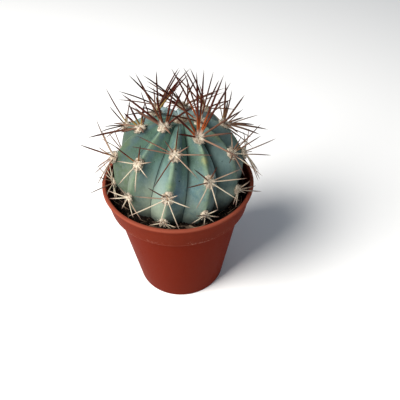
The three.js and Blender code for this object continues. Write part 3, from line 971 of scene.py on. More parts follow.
def level_ring(angle: Array, radius: Array | float, height: float) -> Array:
    """Return a level ring of points at given angles round the axis."""
    x, y = radius * np.cos(angle), radius * np.sin(angle)
    return np.column_stack([x, y, np.full(len(angle), height)])


def round_angles(columns: int) -> Array:
    """Return angles spread evenly round the axis."""
    return np.linspace(0, 2 * np.pi, columns, endpoint=False)


@dataclass
class PotForm:
    """The moulded pot."""

    height: float = 48.0
    rim_radius: float = 27.5
    lip_width: float = 1.3
    lip_height: float = 1.3
    wall: float = 0.95
    band_height: float = 9.2
    band_top_radius: float = 26.9
    band_foot_radius: float = 25.6
    body_top_radius: float = 23.7
    foot_radius: float = 17.7
    foot_chamfer: float = 0.4
    foot_ring_width: float = 2.2
    centre_disc_radius: float = 6.5
    drain_recess: float = 1.1
    floor_top: float = 2.2
    drain_holes: int = 8
    drain_hole_radius: float = 2.1
    drain_circle_radius: float = 11.0
    drill_reach: float = 2.0
    drill_sides: int = 32
    columns: int = 176

    def inside(self, z: Array | float) -> Array:
        """Return the wall's inner radius.

        Args:
            z: Heights over the floor.

        Returns:
            The radius at each height.
        """
        z = np.asarray(z, float)
        foot = self.height - self.band_height
        body = self.foot_radius + (self.body_top_radius - self.foot_radius) * z / foot
        share = (z - foot) / self.band_height
        band = self.band_foot_radius + (self.band_top_radius - self.band_foot_radius) * share
        band = np.minimum(band - self.wall, self.rim_radius - self.lip_width)
        return np.where(z < foot - self.wall, body - self.wall, band)

    def profile(self) -> Array:
        """Work out the section.

        Returns:
            Its points as radius and height, from the axis at the foot round to the floor.
        """
        foot = self.height - self.band_height
        ring = self.foot_radius - self.foot_chamfer - self.foot_ring_width
        edge = self.height - self.lip_height
        disc, recess = self.centre_disc_radius, self.drain_recess
        knots = [
            (0, 0, 0), (disc, 0, 0.2), (disc + 0.4, recess, 0.2), (ring - 0.4, recess, 0.2),
            (ring, 0, 0.2), (self.foot_radius - 0.1, 0, 0.35),
            (self.body_top_radius, foot, 0.15), (self.band_foot_radius, foot, 0.4),
            (self.band_top_radius, edge, 0.12), (self.rim_radius, edge, 0.45),
            (self.rim_radius, self.height, 0.5),
            (self.rim_radius - self.lip_width, self.height, 0.45),
            (self.band_top_radius - self.wall, edge - 0.2, 0.3),
            (self.band_foot_radius - self.wall, foot + self.wall / 2, 0.3),
            (self.body_top_radius - self.wall, foot - self.wall, 0.3),
            (float(self.inside(self.floor_top)), self.floor_top, 0.6), (0, self.floor_top, 0),
        ]
        return rounded(knots)

    def mesh(self) -> bpy.types.Mesh:
        """Turn the pot and cut its drain holes.

        Returns:
            The pot.
        """
        profile = self.profile()
        around = round_angles(self.columns)
        rings = [level_ring(around, r, z) for r, z in profile[1:-1][::-1]]
        points = np.concatenate([[[0, 0, profile[-1][1]]], *rings, [[0, 0, 0]]])
        maker = MeshMaker()
        maker.add(points, closed_grid(len(rings), self.columns)[:, ::-1][:, [1, 2, 3, 0]])
        solid = maker.mesh("pot_turned")
        recalculate(solid)
        top, foot = self.floor_top + self.drill_reach, -self.drill_reach
        around = round_angles(self.drill_sides)
        ends = [level_ring(around, self.drain_hole_radius, z) for z in (top, foot)]
        peg = np.concatenate([[[0, 0, top]], *ends, [[0, 0, foot]]])
        drill = MeshMaker()
        for i in range(self.drain_holes):
            turn = 2 * math.pi * (i + 0.5) / self.drain_holes
            place = self.drain_circle_radius * np.array([math.cos(turn), math.sin(turn), 0])
            drill.add(peg + place, closed_grid(2, self.drill_sides))
        cutter = drill.mesh("drain_drill")
        recalculate(cutter)
        return cut(solid, cutter, "pot_fine")


def rounded(
    knots: Sequence[tuple[float, float, float]], steps: int = 4, most_share: float = 0.45
) -> Array:
    """Return a profile with its corners rounded.

    Args:
        knots: Corners as (radius, height, rounding); a rounding of 0 keeps the corner.
        steps: Steps on each rounding.
        most_share: The most of a side that a rounding takes.

    Returns:
        The profile's points.
    """
    out: list[Array] = []
    for i, (r, z, bevel) in enumerate(knots):
        here = np.array([r, z], float)
        if bevel == 0 or i in (0, len(knots) - 1):
            out.append(here)
            continue
        ways = (np.array(knots[i + side][:2], float) - here for side in (-1, 1))
        a, b = (here + way * min(bevel / np.linalg.norm(way), most_share) for way in ways)
        for t in np.linspace(0, 1, steps + 1):
            out.append((1 - t) ** 2 * a + 2 * t * (1 - t) * here + t**2 * b)
    return np.array(out)


def recalculate(mesh: bpy.types.Mesh) -> None:
    """Turn a closed mesh's faces outwards.

    Args:
        mesh: The mesh, which is changed.
    """
    work = bmesh.new()
    work.from_mesh(mesh)
    bmesh.ops.recalc_face_normals(work, faces=work.faces)
    work.to_mesh(mesh)
    work.free()
    mesh.update()


def cut(
    solid: bpy.types.Mesh, cutter: bpy.types.Mesh, name: str, sharp_angle: float = 34.0
) -> bpy.types.Mesh:
    """Cut one closed mesh from another.

    Args:
        solid: What is cut.
        cutter: What is taken away.
        name: A name for the result.
        sharp_angle: How many degrees an edge turns before it is sharp.

    Returns:
        The result as a plain mesh.
    """
    a = bpy.data.objects.new(name + "_a", solid)
    b = bpy.data.objects.new(name + "_b", cutter)
    for carrier in (a, b):
        bpy.context.scene.collection.objects.link(carrier)
    modifier = a.modifiers.new("drill", "BOOLEAN")
    modifier.operation = "DIFFERENCE"
    modifier.solver = "EXACT"
    modifier.object = b
    graph = bpy.context.evaluated_depsgraph_get()
    result = bpy.data.meshes.new_from_object(a.evaluated_get(graph))
    result.name = name
    for carrier in (a, b):
        bpy.data.objects.remove(carrier)
    result.shade_smooth()
    result.set_sharp_from_angle(angle=math.radians(sharp_angle))
    return result


class Age(Enum):
    """How old an areole is, by its place down the rib."""

    APEX = "apex"
    CROWN = "crown"
    SHOULDER = "shoulder"
    FLANK = "flank"
    LOW = "low"


Star = tuple[tuple[float, float, float, float], ...]
Wish = tuple[float, float, float]

# The spines of a cluster by its age: clock, lift, length and root radius
STARS: dict[Age, Star] = {
    Age.CROWN: (
        (4, 50, 21, 0.46), (-32, 44, 19, 0.44), (40, 45, 18.5, 0.44),
        (-66, 32, 16, 0.4), (72, 32, 16, 0.4), (-115, 24, 13, 0.37), (118, 24, 13, 0.37),
    ),
    Age.SHOULDER: (
        (4, 58, 11.5, 0.44), (-74, 24, 15.5, 0.38), (-44, 38, 10.5, 0.36), (46, 34, 8.5, 0.36),
        (92, 22, 13, 0.38), (134, 19, 12.5, 0.38), (-148, 18, 13, 0.38), (-110, 22, 10, 0.36),
        (178, 26, 10, 0.36),
    ),
    Age.FLANK: (
        (14, 60, 6, 0.38), (-52, 34, 8, 0.36), (-86, 18, 11, 0.37), (-119, 16, 13, 0.38),
        (-164, 16, 11.5, 0.38), (158, 16, 12.5, 0.38), (121, 17, 12, 0.38), (86, 18, 12.5, 0.38),
        (58, 30, 9.5, 0.36),
    ),
    Age.LOW: (
        (2, 46, 7, 0.36), (-30, 38, 8, 0.35), (34, 36, 8, 0.35), (-56, 22, 9, 0.36),
        (58, 22, 9, 0.36), (-78, 9, 8.5, 0.36), (80, 9, 8.5, 0.36), (-98, 5, 6.5, 0.34),
        (100, 5, 6.5, 0.34),
    ),
    Age.APEX: (
        (0, 70, 9, 0.38), (70, 60, 8, 0.36), (140, 66, 7.5, 0.36), (215, 62, 8, 0.36),
        (290, 60, 9, 0.38),
    ),
}

# Clusters with a star of their own: clock, lift and length, and from 0 for ivory over 0.5
# for rose-brown to 1 for red-brown
OWN_STARS: dict[str, Star] = {
    "areole_rib01_1": (
        (2, 42, 8.5, 1.0), (57, 30, 4.5, 0.5), (88, 20, 11, 0.45), (132, 18, 10.5, 0.35),
        (-159, 16, 12, 0.75), (-92, 22, 12.5, 0.6), (-76, 26, 12, 0.55), (-47, 35, 4.5, 0.6),
    ),
    "areole_rib01_2": (
        (0, 62, 5, 0.4), (-58, 30, 7, 0.75), (-92, 20, 9.5, 0.35), (-125, 18, 12.5, 0.05),
        (-176, 20, 8.5, 0.0), (144, 22, 9.5, 0.0), (92, 18, 7, 0.1), (48, 27, 3.5, 0.2),
    ),
    "areole_rib01_3": (
        (-108, 20, 4, 0.1), (74, 22, 4, 0.1), (176, 31, 2.5, 0.1), (-55, 30, 4, 0.4),
        (30, 40, 3, 0.4), (120, 20, 3, 0.2),
    ),
    "areole_rib02_1": (
        (43, 52, 19.4, 1.0), (54, 48, 18.5, 1.0), (3, 60, 19.3, 1.0), (15, 58, 20, 1.0),
        (-33, 52, 16.4, 1.0), (85, 35, 15, 0.8), (107, 20, 10.5, 0.7), (147, 15, 14.6, 0.5),
        (-77, 22, 6.5, 1.0), (-69, 40, 13.5, 1.0),
    ),
    "areole_rib02_2": (
        (0, 55, 7, 0.9), (-57, 28, 9, 0.8), (69, 30, 9.5, 0.35), (90, 22, 11, 0.25),
        (129, 18, 10.5, 0.0), (174, 21, 8, 0.0), (-139, 16, 9, 0.2), (-92, 16, 8, 0.75),
    ),
    "areole_rib02_3": (
        (-118, 20, 6, 0.1), (-175, 30, 3, 0.1), (123, 26, 4, 0.05), (92, 20, 4.5, 0.05),
        (46, 20, 4, 0.2), (-62, 24, 5, 0.4),
    ),
    "areole_rib03_2": (
        (90, 46, 10.5, 0.8), (71, 46, 12.5, 0.8), (44, 50, 5, 0.75), (15, 25, 6, 0.3),
        (-157, 20, 7.5, 0.45), (167, 25, 11.5, 0.15), (-100, 20, 6, 0.5), (125, 24, 8, 0.1),
    ),
    "areole_rib03_3": (
        (54, 35, 4.5, 0.3), (95, 30, 7.5, 0.3), (116, 27, 13, 0.25), (-171, 20, 8, 0.05),
        (-110, 18, 6, 0.1), (150, 20, 7, 0.05),
    ),
    "areole_rib04_1": (
        (49, 56, 13, 1.0), (111, 62, 11.5, 0.85), (157, 45, 6.5, 0.6), (175, 25, 15.5, 0.75),
        (165, 25, 11, 0.7), (-169, 22, 12, 0.7), (55, 65, 7, 0.9), (-60, 30, 9, 0.7),
        (-110, 20, 7, 0.6),
    ),
    "areole_rib08_2": (
        (-24, 77, 13.8, 1.0), (34, 60, 9.5, 1.0), (-43, 39, 6.5, 0.8), (67, 25, 12, 0.7),
        (74, 22, 13.5, 0.7), (-75, 35, 10, 0.75), (-115, 22, 9, 0.6), (150, 20, 8, 0.5),
    ),
    "areole_rib09_1": (
        (-40, 72, 13, 1.0), (-175, 24, 16, 0.85), (-5, 41, 3.5, 0.8), (170, 30, 5.5, 0.6),
        (-33, 45, 8, 1.0), (-118, 60, 6, 1.0), (-140, 20, 9, 0.6), (80, 20, 6, 0.5),
    ),
    "areole_rib10_1": (
        (-77, 45, 18.7, 1.0), (-96, 32, 16, 1.0), (-100, 27, 14.5, 0.75), (-96, 20, 11.5, 0.7),
        (-11, 58, 15.5, 1.0), (6, 50, 16.5, 1.0), (33, 30, 10.5, 0.9), (-43, 62, 13.5, 1.0),
        (120, 20, 6, 0.6),
    ),
    "areole_rib10_2": (
        (4, 39, 6.5, 0.9), (-77, 41, 8.5, 1.0), (-113, 21, 6, 0.1), (-171, 17, 8, 0.0),
        (144, 18, 9.5, 0.05), (102, 16, 6, 0.05), (59, 25, 6.5, 0.3),
    ),
    "areole_rib10_3": (
        (-19, 30, 5.5, 0.3), (-100, 20, 7.5, 0.05), (-121, 25, 7, 0.05), (-178, 21, 5.5, 0.2),
        (136, 20, 6.5, 0.05), (96, 20, 9, 0.35),
    ),
}
OWN_ROOT_RADIUS = 0.37

# Spines that stand out from their star: clock, lift and length
SINGLE_SPINES: dict[str, tuple[Wish, ...]] = {
    "areole_rib04_2": ((-41, 74, 12), (-109, 72, 9)),
    "areole_rib09_2": ((-110, 75, 11.3), (142, 23, 10)),
    "areole_rib09_3": ((59, 54, 10.7),),
}

# Stands for an areole that a rib doesn't have, far from every point
NOWHERE = -1e3


def smooth(x: Array, low: float, high: float) -> Array:
    """Return a smooth step from 0 at low to 1 at high."""
    t = np.clip((np.asarray(x, float) - low) / (high - low), 0, 1)
    return t * t * (3 - 2 * t)


def with_ends(grid: Array, first: float, last: float) -> Array:
    """Return a grid's numbers in one row, between those of the two poles."""
    return np.concatenate([[first], grid.ravel(), [last]])


@dataclass
class Areole:
    """One woolly cushion: its place and directions in the plant's own frame."""

    name: str
    age: Age
    distance: float
    place: Array
    right: Array
    up: Array
    out: Array
    root_lift: float
    root_spread: float
    half_width: float
    half_length: float
    height: float


@dataclass
class Spine:
    """One spine: how it is set on its areole, and how thick its root is."""

    areole: Areole
    clock: float
    lift: float
    length: float
    radius: float
    line: Array
    shade: float | None = None


@dataclass
class StemForm:
    """The ribbed stem, in a frame that leans about the point on its axis at the soil line."""

    pivot: float = 44.0
    lean_right: float = 0.05
    lean_back: float = 0.03
    radius: float = 23.1
    equator: float = 9.1
    crown_height: float = 20.5
    base_depth: float = 20.8
    crown_roundness: float = 2.05
    base_roundness: float = 2.1
    ribs: int = 10
    first_rib: float = -9.5
    crowding: float = 4.8
    crowded_side: float = 5.0
    twist: float = 0.33
    valley_depth: float = 0.17
    crown_valley: float = 0.75
    foot_valley: float = 0.3
    crest_rounding: float = 0.06
    crown_bulge: float = 1.08
    foot_bulge: float = 1.3
    foot_faces: float = -36.0
    flat_faces: float = 4.0
    apex_dip: float = 2.2
    apex_dip_radius: float = 5.0
    tubercle_rise: float = 0.4
    tubercle_length: float = 3.0
    tubercle_drop: float = 0.7
    valley_drop: float = 0.28
    ripples: tuple[tuple[float, int, float, float], ...] = (
        (0.16, 3, 4.0, 0.16), (0.7, 2, 9.0, 0.035),
    )
    ripple_sunk: float = 0.06
    apex_fade: float = 22.0
    foot_fade: Span = (-60.0, 20.0)
    crown_band: Span = (55.0, 22.0)
    left_side_span: Span = (2.0, 18.0)
    felt_reach: Span = (2.6, 2.3)
    worn_width: float = 1.9
    first_areole: tuple[float, ...] = (17.0, 12.0, 7.2, 15.6, 12.6, 7.2, 15.2, 8.5, 13.8, 8.3)
    areole_step: float = 14.6
    step_shrink: float = 0.42
    crest_length: float = 40.0
    areole_lowest: float = 3.1
    soil_level: float = 43.6
    worn_patches: tuple[tuple[int, float, float, float], ...] = (
        (1, 19.4, 2.4, 1.0), (0, 27.2, 2.2, 0.7), (2, 14.4, 2.6, 0.7), (3, 22.5, 2.8, 0.6),
        (9, 15.0, 2.2, 0.6), (8, 21.0, 2.4, 0.6), (4, 18.0, 2.6, 0.7), (6, 24.0, 2.6, 0.7),
        (7, 20.0, 2.6, 0.6),
    )
    # Where a rib's painted shade starts further right: rib, distance, length and share.
    shifted_faces: tuple[tuple[int, float, float, float], ...] = ((1, 18.5, 6.5, 0.5),)
    columns_per_rib: int = 34
    rows: int = 190
    walk_angles: Array = field(init=False)
    walk_lengths: Array = field(init=False)
    turn: Array = field(init=False)
    distances: list[list[float]] = field(init=False)

    def __post_init__(self) -> None:
        """Work out the walk down a crest, the lean and the areoles' places."""
        self.walk_angles = np.arange(90.0, -90.0, -0.25)
        r, z = self.outline(self.walk_angles)
        self.walk_lengths = np.concatenate([[0.0], np.cumsum(np.hypot(np.diff(r), np.diff(z)))])
        axis = np.array([self.lean_right, self.lean_back, 1.0])
        axis /= np.linalg.norm(axis)
        v = np.cross([0.0, 0.0, 1.0], axis)
        k = np.array([[0, -v[2], v[1]], [v[2], 0, -v[0]], [-v[1], v[0], 0]])
        self.turn = np.eye(3) + k + k @ k / (1 + axis[2])
        self.distances = [self._areoles_on(rib) for rib in range(self.ribs)]

    def outline(self, degrees: Array) -> tuple[Array, Array]:
        """Return the outline at an angle.

        Args:
            degrees: Angles from the equator.

        Returns:
            Its radius and its height.
        """
        degrees = np.asarray(degrees, float)
        up = degrees >= 0
        power = np.where(up, self.crown_roundness, self.base_roundness)
        reach = np.where(up, self.crown_height, -self.base_depth)
        sine = np.abs(np.sin(np.radians(degrees))) ** (2 / power)
        cosine = np.abs(np.cos(np.radians(degrees))) ** (2 / power)
        return self.radius * cosine, self.equator + reach * sine

    def outline_radius(self, z: Array) -> Array:
        """Return the outline's radius.

        Args:
            z: Heights on the axis.

        Returns:
            The radius at each height.
        """
        up = z >= self.equator
        reach = np.where(up, self.crown_height, self.base_depth)
        share = np.minimum(1, np.abs(z - self.equator) / reach)
        power = np.where(up, self.crown_roundness, self.base_roundness)
        return self.radius * (1 - share**power) ** (1 / power)

    def angle_at(self, distance: float) -> float:
        """Return the outline's angle at a distance walked from the apex."""
        return float(self.walk_angles[np.searchsorted(self.walk_lengths, distance)])

    def distance_at(self, degrees: Array) -> Array:
        """Return the distance walked from the apex to an angle."""
        return np.interp(90 - np.asarray(degrees, float), 90 - self.walk_angles, self.walk_lengths)

    def crest_azimuth(self, rib: Array | float, z: Array | float) -> Array:
        """Return where a rib's crest lies, in degrees from -Y towards +X.

        Args:
            rib: The rib's number, or a share between two ribs.
            z: Its height.

        Returns:
            The azimuth.
        """
        even = self.first_rib + 360 / self.ribs * np.asarray(rib)
        crowded = even - self.crowding * np.sin(np.radians(even - self.crowded_side))
        return crowded + self.twist * (np.asarray(z) - self.equator)

    def rib_turns(self, azimuth: Array, z: Array) -> Array:
        """Return where a point lies among the ribs.

        Args:
            azimuth: Azimuths in degrees.
            z: Heights.

        Returns:
            A whole number on each crest.
        """
        crowded = azimuth - self.twist * (z - self.equator)
        even = crowded
        for _ in range(4):
            even = crowded + self.crowding * np.sin(np.radians(even - self.crowded_side))
        return (even - self.first_rib) / (360 / self.ribs)

    def _areoles_on(self, rib: int) -> list[float]:
        """Place one rib's areoles.

        Args:
            rib: The rib's number.

        Returns:
            Their distances from the apex.
        """
        found: list[float] = []
        distance = self.first_areole[rib]
        while self._above_soil(rib, distance) > self.areole_lowest:
            found.append(distance)
            shrunk = self.step_shrink * (distance / self.crest_length) ** 2
            distance += self.areole_step * (1 - shrunk)
        return found

    def _above_soil(self, rib: int, distance: float) -> float:
        """Return how high a crest lies above the soil.

        Args:
            rib: The rib's number.
            distance: A distance from the apex.

        Returns:
            The height.
        """
        r, z = self.outline(np.array(self.angle_at(distance)))
        angle = math.radians(float(self.crest_azimuth(rib, float(z))))
        crest = np.array([[float(r) * math.sin(angle), -float(r) * math.cos(angle), float(z)]])
        return float(self.world(crest)[0, 2]) - self.soil_level

    def world(self, points: Array) -> Array:
        """Return points of the plant's own frame in the part's frame."""
        return points @ self.turn.T + [0, 0, self.pivot]

    def relief(self, azimuth: Array, z: Array, degrees: Array) -> tuple[Array, Array, Array]:
        """Return how the skin differs from the outline.

        Args:
            azimuth: Azimuths in degrees.
            z: Heights on the outline.
            degrees: Angles on the outline.

        Returns:
            The share of the radius that it sinks, how far it rises at a tubercle, and how far it
            is from the crest, from 0 to 1 in the furrow.
        """
        turns = self.rib_turns(azimuth, z)
        nearest = np.floor(turns + 0.5)
        rib = (nearest % self.ribs).astype(int)
        across = 2 * np.abs(turns - nearest)
        e = self.crest_rounding
        blend = smooth(degrees, self.foot_faces, self.flat_faces)
        bulge = self.foot_bulge + (self.crown_bulge - self.foot_bulge) * blend
        fall = (np.maximum(0, np.hypot(across, e) - e) / (math.hypot(1, e) - e)) ** bulge
        here = self.distance_at(degrees)
        rise = np.zeros_like(across)
        for centre in self._centres(rib):
            off = (here - centre - self.tubercle_drop) / self.tubercle_length
            rise += self.tubercle_rise * np.exp(-(off**2)) * (1 - across) ** 2
        apex = smooth(90 - degrees, 0, self.apex_fade)
        base = self.foot_valley + (1 - self.foot_valley) * smooth(degrees, *self.foot_fade)
        middle, width = self.crown_band
        crown = 1 + self.crown_valley * np.exp(-(((degrees - middle) / width) ** 2))
        return self.valley_depth * crown * apex * base * fall, rise, across

    def _centres(self, rib: Array) -> list[Array]:
        """Return the distances of each rib's first areoles, its second ones and so on.

        Args:
            rib: The rib's number at each point.

        Returns:
            One row of distances a rank; a rib without such an areole has one far away.
        """
        most = max(len(d) for d in self.distances)
        rows = [[d[k] if k < len(d) else NOWHERE for d in self.distances] for k in range(most)]
        return [np.array(row)[rib] for row in rows]

    def skin(self, azimuth: Array, degrees: Array, margin: float = 0.0) -> tuple[Array, Array]:
        """Return points of the skin.

        Args:
            azimuth: Azimuths in degrees.
            degrees: Angles on the outline.
            margin: How far to grow outwards.

        Returns:
            The points, and how far each is from the crest.
        """
        azimuth, degrees = np.broadcast_arrays(azimuth, degrees)
        r, z = self.outline(degrees)
        sink, rise, across = self.relief(azimuth, z, degrees)
        r1, z1 = self.outline(np.minimum(90, degrees + 1))
        r0, z0 = self.outline(np.maximum(-90, degrees - 1))
        size = np.hypot(z1 - z0, r0 - r1)
        out_r, out_z = (z1 - z0) / size, (r0 - r1) / size
        grown = rise + margin
        radius = np.maximum(0, r * (1 - sink) + grown * out_r)
        dip = np.where(degrees > 0, self.apex_dip * np.exp(-((r / self.apex_dip_radius) ** 2)), 0)
        height = z + grown * out_z - dip - self.valley_drop * sink * r * np.maximum(0, out_z)
        angle = np.radians(azimuth)
        return np.stack([radius * np.sin(angle), -radius * np.cos(angle), height], -1), across

    def mesh(self) -> bpy.types.Mesh:
        """Make the fine stem.

        Returns:
            The stem, with its numbers for the skin's finish.
        """
        columns = self.ribs * self.columns_per_rib
        around, degrees = np.meshgrid(
            np.linspace(0, 360, columns, endpoint=False),
            90 - 180 * np.arange(1, self.rows) / self.rows,
        )
        _, z = self.outline(degrees)
        points, across = self.skin(self.crest_azimuth(around / (360 / self.ribs), z), degrees)
        poles = [self.skin(np.array([0.0]), np.array([angle]))[0] for angle in (90.0, -90.0)]
        points = np.concatenate([poles[0], points.reshape(-1, 3), poles[1]])
        ripple = sum(fractal(points, scale, octaves, offset) * height
                     for scale, octaves, offset, height in self.ripples)
        outwards = points - np.array([0, 0, self.equator])
        outwards /= np.linalg.norm(outwards, axis=1)[:, None]
        points = points + outwards * (ripple - self.ripple_sunk)[:, None]
        across = with_ends(across, 0.0, 0.0)
        felt, worn, lee, turned = self._near(
            with_ends(degrees, 90.0, -90.0), with_ends(around, 0.0, 0.0), across)
        maker = MeshMaker()
        maker.add(
            self.world(points), closed_grid(self.rows - 1, columns), across=across,
            low=smooth(-self.world(points)[:, 2], -self.soil_level - 5, -self.soil_level),
            felt=felt, worn=worn, lee=lee, turned=turned,
            mossy=smooth(-points[:, 0], *self.left_side_span),
        )
        made = maker.mesh("stem_fine")
        recalculate(made)
        return made

    def _near(
        self, degrees: Array, around: Array, across: Array
    ) -> tuple[Array, Array, Array, Array]:
        """Return how close each point is to areoles and worn patches, and on which face.

        Args:
            degrees: Angles on the outline.
            around: Azimuths among evenly spaced ribs.
            across: How far each point is from the crest, from 0 to 1 in the furrow.

        Returns:
            Closeness to an areole and to a worn patch, 1 at its middle; 1 on the right face of a
            rib beside its crest, where shade is painted; and how a face turns to the light at the
            furrow, from -1 to 1, for painted light and shade.
        """
        here = self.distance_at(degrees)
        turns = around / (360 / self.ribs)
        nearest = np.floor(turns + 0.5)
        rib = nearest.astype(int) % self.ribs
        side = across * self.outline(degrees)[0] * math.pi / self.ribs
        felt = np.zeros_like(here)
        for centre in self._centres(rib):
            off = ((here - centre) / self.felt_reach[0]) ** 2 + (side / self.felt_reach[1]) ** 2
            felt = np.maximum(felt, np.exp(-off))
        worn = np.zeros_like(here)
        for owner, distance, length, strength in self.worn_patches:
            off = ((here - distance) / length) ** 2 + (side / self.worn_width) ** 2
            worn = np.maximum(worn, np.where(rib == owner, strength * np.exp(-off), 0))
        signed = 2 * (turns - nearest)
        start = np.zeros_like(here)
        for owner, distance, length, share in self.shifted_faces:
            start += np.where(rib == owner, share * np.exp(-(((here - distance) / length) ** 2)), 0)
        # Painted shade: the right face of each rib beside its crest, its start shifted on some
        # ribs.
        lee = smooth(signed - start, -0.04, 0.1) * (1 - smooth(signed - start, 0.35, 0.95))
        # Painted light and shade: the right face lighter near the furrow, the left face darker
        # there.
        turned = smooth(signed, 0.45, 0.8) * (1 - smooth(signed, 0.93, 1.0))
        turned -= smooth(-signed, 0.72, 0.96)
        return felt, worn, lee, turned


@dataclass
class SpineRule:
    """Places the areoles and turns, lifts or shortens each spine until it is clear."""

    stem: StemForm
    pot: PotForm
    pad_half_width: float = 1.75
    pad_half_length: float = 2.1
    pad_height: float = 1.35
    apex_pad_radius: float = 2.5
    apex_pad_height: float = 1.2
    crown_end: float = 16.0
    shoulder_end: float = 29.0
    dark_end: float = 20.0
    low_start: float = 33.0
    low_share: float = 0.8
    crown_limit: float = 90.0
    crown_limit_tilt: float = 0.45
    clock_wobble: float = 9.0
    lift_wobble: float = 6.0
    length_wobble: float = 0.14
    bow: float = 0.09
    root_sunk: float = 0.45
    root_spread: float = 1.0
    clearance: float = 0.3
    tries: int = 28
    swing: float = 5.0
    clearing_lift: float = 2.0
    most_lift: float = 80.0
    shorten: float = 0.92
    soil_lump: float = 0.35
    line_steps: int = 12
    areoles: list[Areole] = field(default_factory=list)
    spines: list[Spine] = field(default_factory=list)

    def grow(self) -> None:
        """Place every areole and spine."""
        for rib, distances in enumerate(self.stem.distances):
            for i, distance in enumerate(distances):
                self.areoles.append(self._areole(rib, i, distance))
        self.areoles.append(self._apex())
        drawn = 0
        for areole in self.areoles:
            if areole.name in OWN_STARS:
                for *own, shade in OWN_STARS[areole.name]:
                    self._try(areole, tuple(own), OWN_ROOT_RADIUS, shade)
                continue
            singles = self._singles(areole)
            for i, star in enumerate(STARS[areole.age]):
                drawn += 1
                wish = singles.get(i) or self._wobbled(star, drawn)
                self._try(areole, wish, star[3])

    def _areole(self, rib: int, i: int, distance: float) -> Areole:
        """Make one areole on a rib's crest.

        Args:
            rib: The rib's number.
            i: Its rank down the rib.
            distance: Its distance from the apex.

        Returns:
            The areole.
        """
        stem = self.stem
        degrees = stem.angle_at(distance)

        def crest(angle: float) -> Array:
            """Return the crest's point at an angle on the outline."""
            azimuth = stem.crest_azimuth(rib, stem.outline(np.array([angle]))[1])
            return stem.skin(azimuth, np.array([angle]))[0][0]

        height = float(stem.outline(np.array(degrees))[1])
        azimuth = math.radians(float(stem.crest_azimuth(rib, height)))
        up = crest(degrees + 2) - crest(degrees - 2)
        up /= np.linalg.norm(up)
        out = np.cross([math.cos(azimuth), math.sin(azimuth), 0], up)
        out /= np.linalg.norm(out)
        share = self.low_share if distance > self.low_start else 1.0
        return Areole(
            f"areole_rib{rib + 1:02d}_{i + 1}", self._age(distance), distance, crest(degrees),
            np.cross(up, out), up, out, self.pad_height * 0.55 * share, self.root_spread * share,
            self.pad_half_width * share, self.pad_half_length * share, self.pad_height * share,
        )

    def _age(self, distance: float) -> Age:
        """Return how old an areole is.

        Args:
            distance: Its distance from the apex.

        Returns:
            Its age.
        """
        if distance < self.crown_end:
            return Age.CROWN
        if distance < self.shoulder_end:
            return Age.SHOULDER
        return Age.FLANK if distance < self.low_start else Age.LOW

    def _apex(self) -> Areole:
        """Make the woolly apex.

        Returns:
            The areole at the very top.
        """
        place = self.stem.skin(np.array([0.0]), np.array([90.0]))[0][0]
        r = self.apex_pad_radius
        return Areole(
            "apex_wool", Age.APEX, 0.0, place, np.array([1.0, 0, 0]), np.array([0, 1.0, 0]),
            np.array([0, 0, 1.0]), self.apex_pad_height * 0.5, r * 0.45, r, r, self.apex_pad_height,
        )

    def line(self, areole: Areole, clock: float, lift: float, length: float, steps: int) -> Array:
        """Return the middle line of a spine.

        Args:
            areole: The areole that it grows from.
            clock: Its direction round the areole, in degrees from the apex side.
            lift: How far it stands off the skin, in degrees.
            length: Its length.
            steps: Steps along it.

        Returns:
            Its points from root to tip.
        """
        turn, rise = math.radians(clock), math.radians(lift)
        flat = areole.up * math.cos(turn) + areole.right * math.sin(turn)
        along = flat * math.cos(rise) + areole.out * math.sin(rise)
        bow = flat * math.sin(rise) - areole.out * math.cos(rise)
        root = areole.place + areole.out * areole.root_lift + flat * areole.root_spread
        share = (np.arange(steps + 1) / steps)[:, None]
        straight = along * (length * share - self.root_sunk * (1 - share))
        return root + straight + bow * self.bow * length * share**2

    def _limited(self, areole: Areole, clock: float, lift: float, length: float) -> float:
        """Shorten a spine that would pass the crown's limit, which falls towards the back.

        Args:
            areole: The areole that it grows from.
            clock: Its direction.
            lift: Its lift.
            length: Its length.

        Returns:
            The length.
        """
        root, tip = self.stem.world(self.line(areole, clock, lift, length, 1))
        low, high = (float(p[2] + self.crown_limit_tilt * p[1]) for p in (root, tip))
        share = (self.crown_limit - low) / max(1e-6, high - low)
        return length * share if 0 < share < 1 else length

    def _wobbled(self, star: tuple[float, float, float, float], drawn: int) -> Wish:
        """Take a spine of a star, each of its numbers a little off.

        Args:
            star: The star's spine.
            drawn: How many spines were drawn.

        Returns:
            Its clock, lift and length.
        """
        return (
            star[0] + self.clock_wobble * wobble(3 * drawn),
            star[1] + self.lift_wobble * wobble(3 * drawn + 1),
            star[2] * (1 + self.length_wobble * wobble(3 * drawn + 2)),
        )

    @staticmethod
    def _singles(areole: Areole) -> dict[int, Wish]:
        """Find the single spines of an areole.

        Args:
            areole: The areole.

        Returns:
            Its single spines, by the place in the star that each takes.
        """
        aims = np.array([aim(clock, lift) for clock, lift, _, _ in STARS[areole.age]])
        taken: dict[int, Wish] = {}
        for single in SINGLE_SPINES.get(areole.name, ()):
            nearness = aims @ aim(single[0], single[1])
            nearness[list(taken)] = -2
            taken[int(nearness.argmax())] = single
        return taken

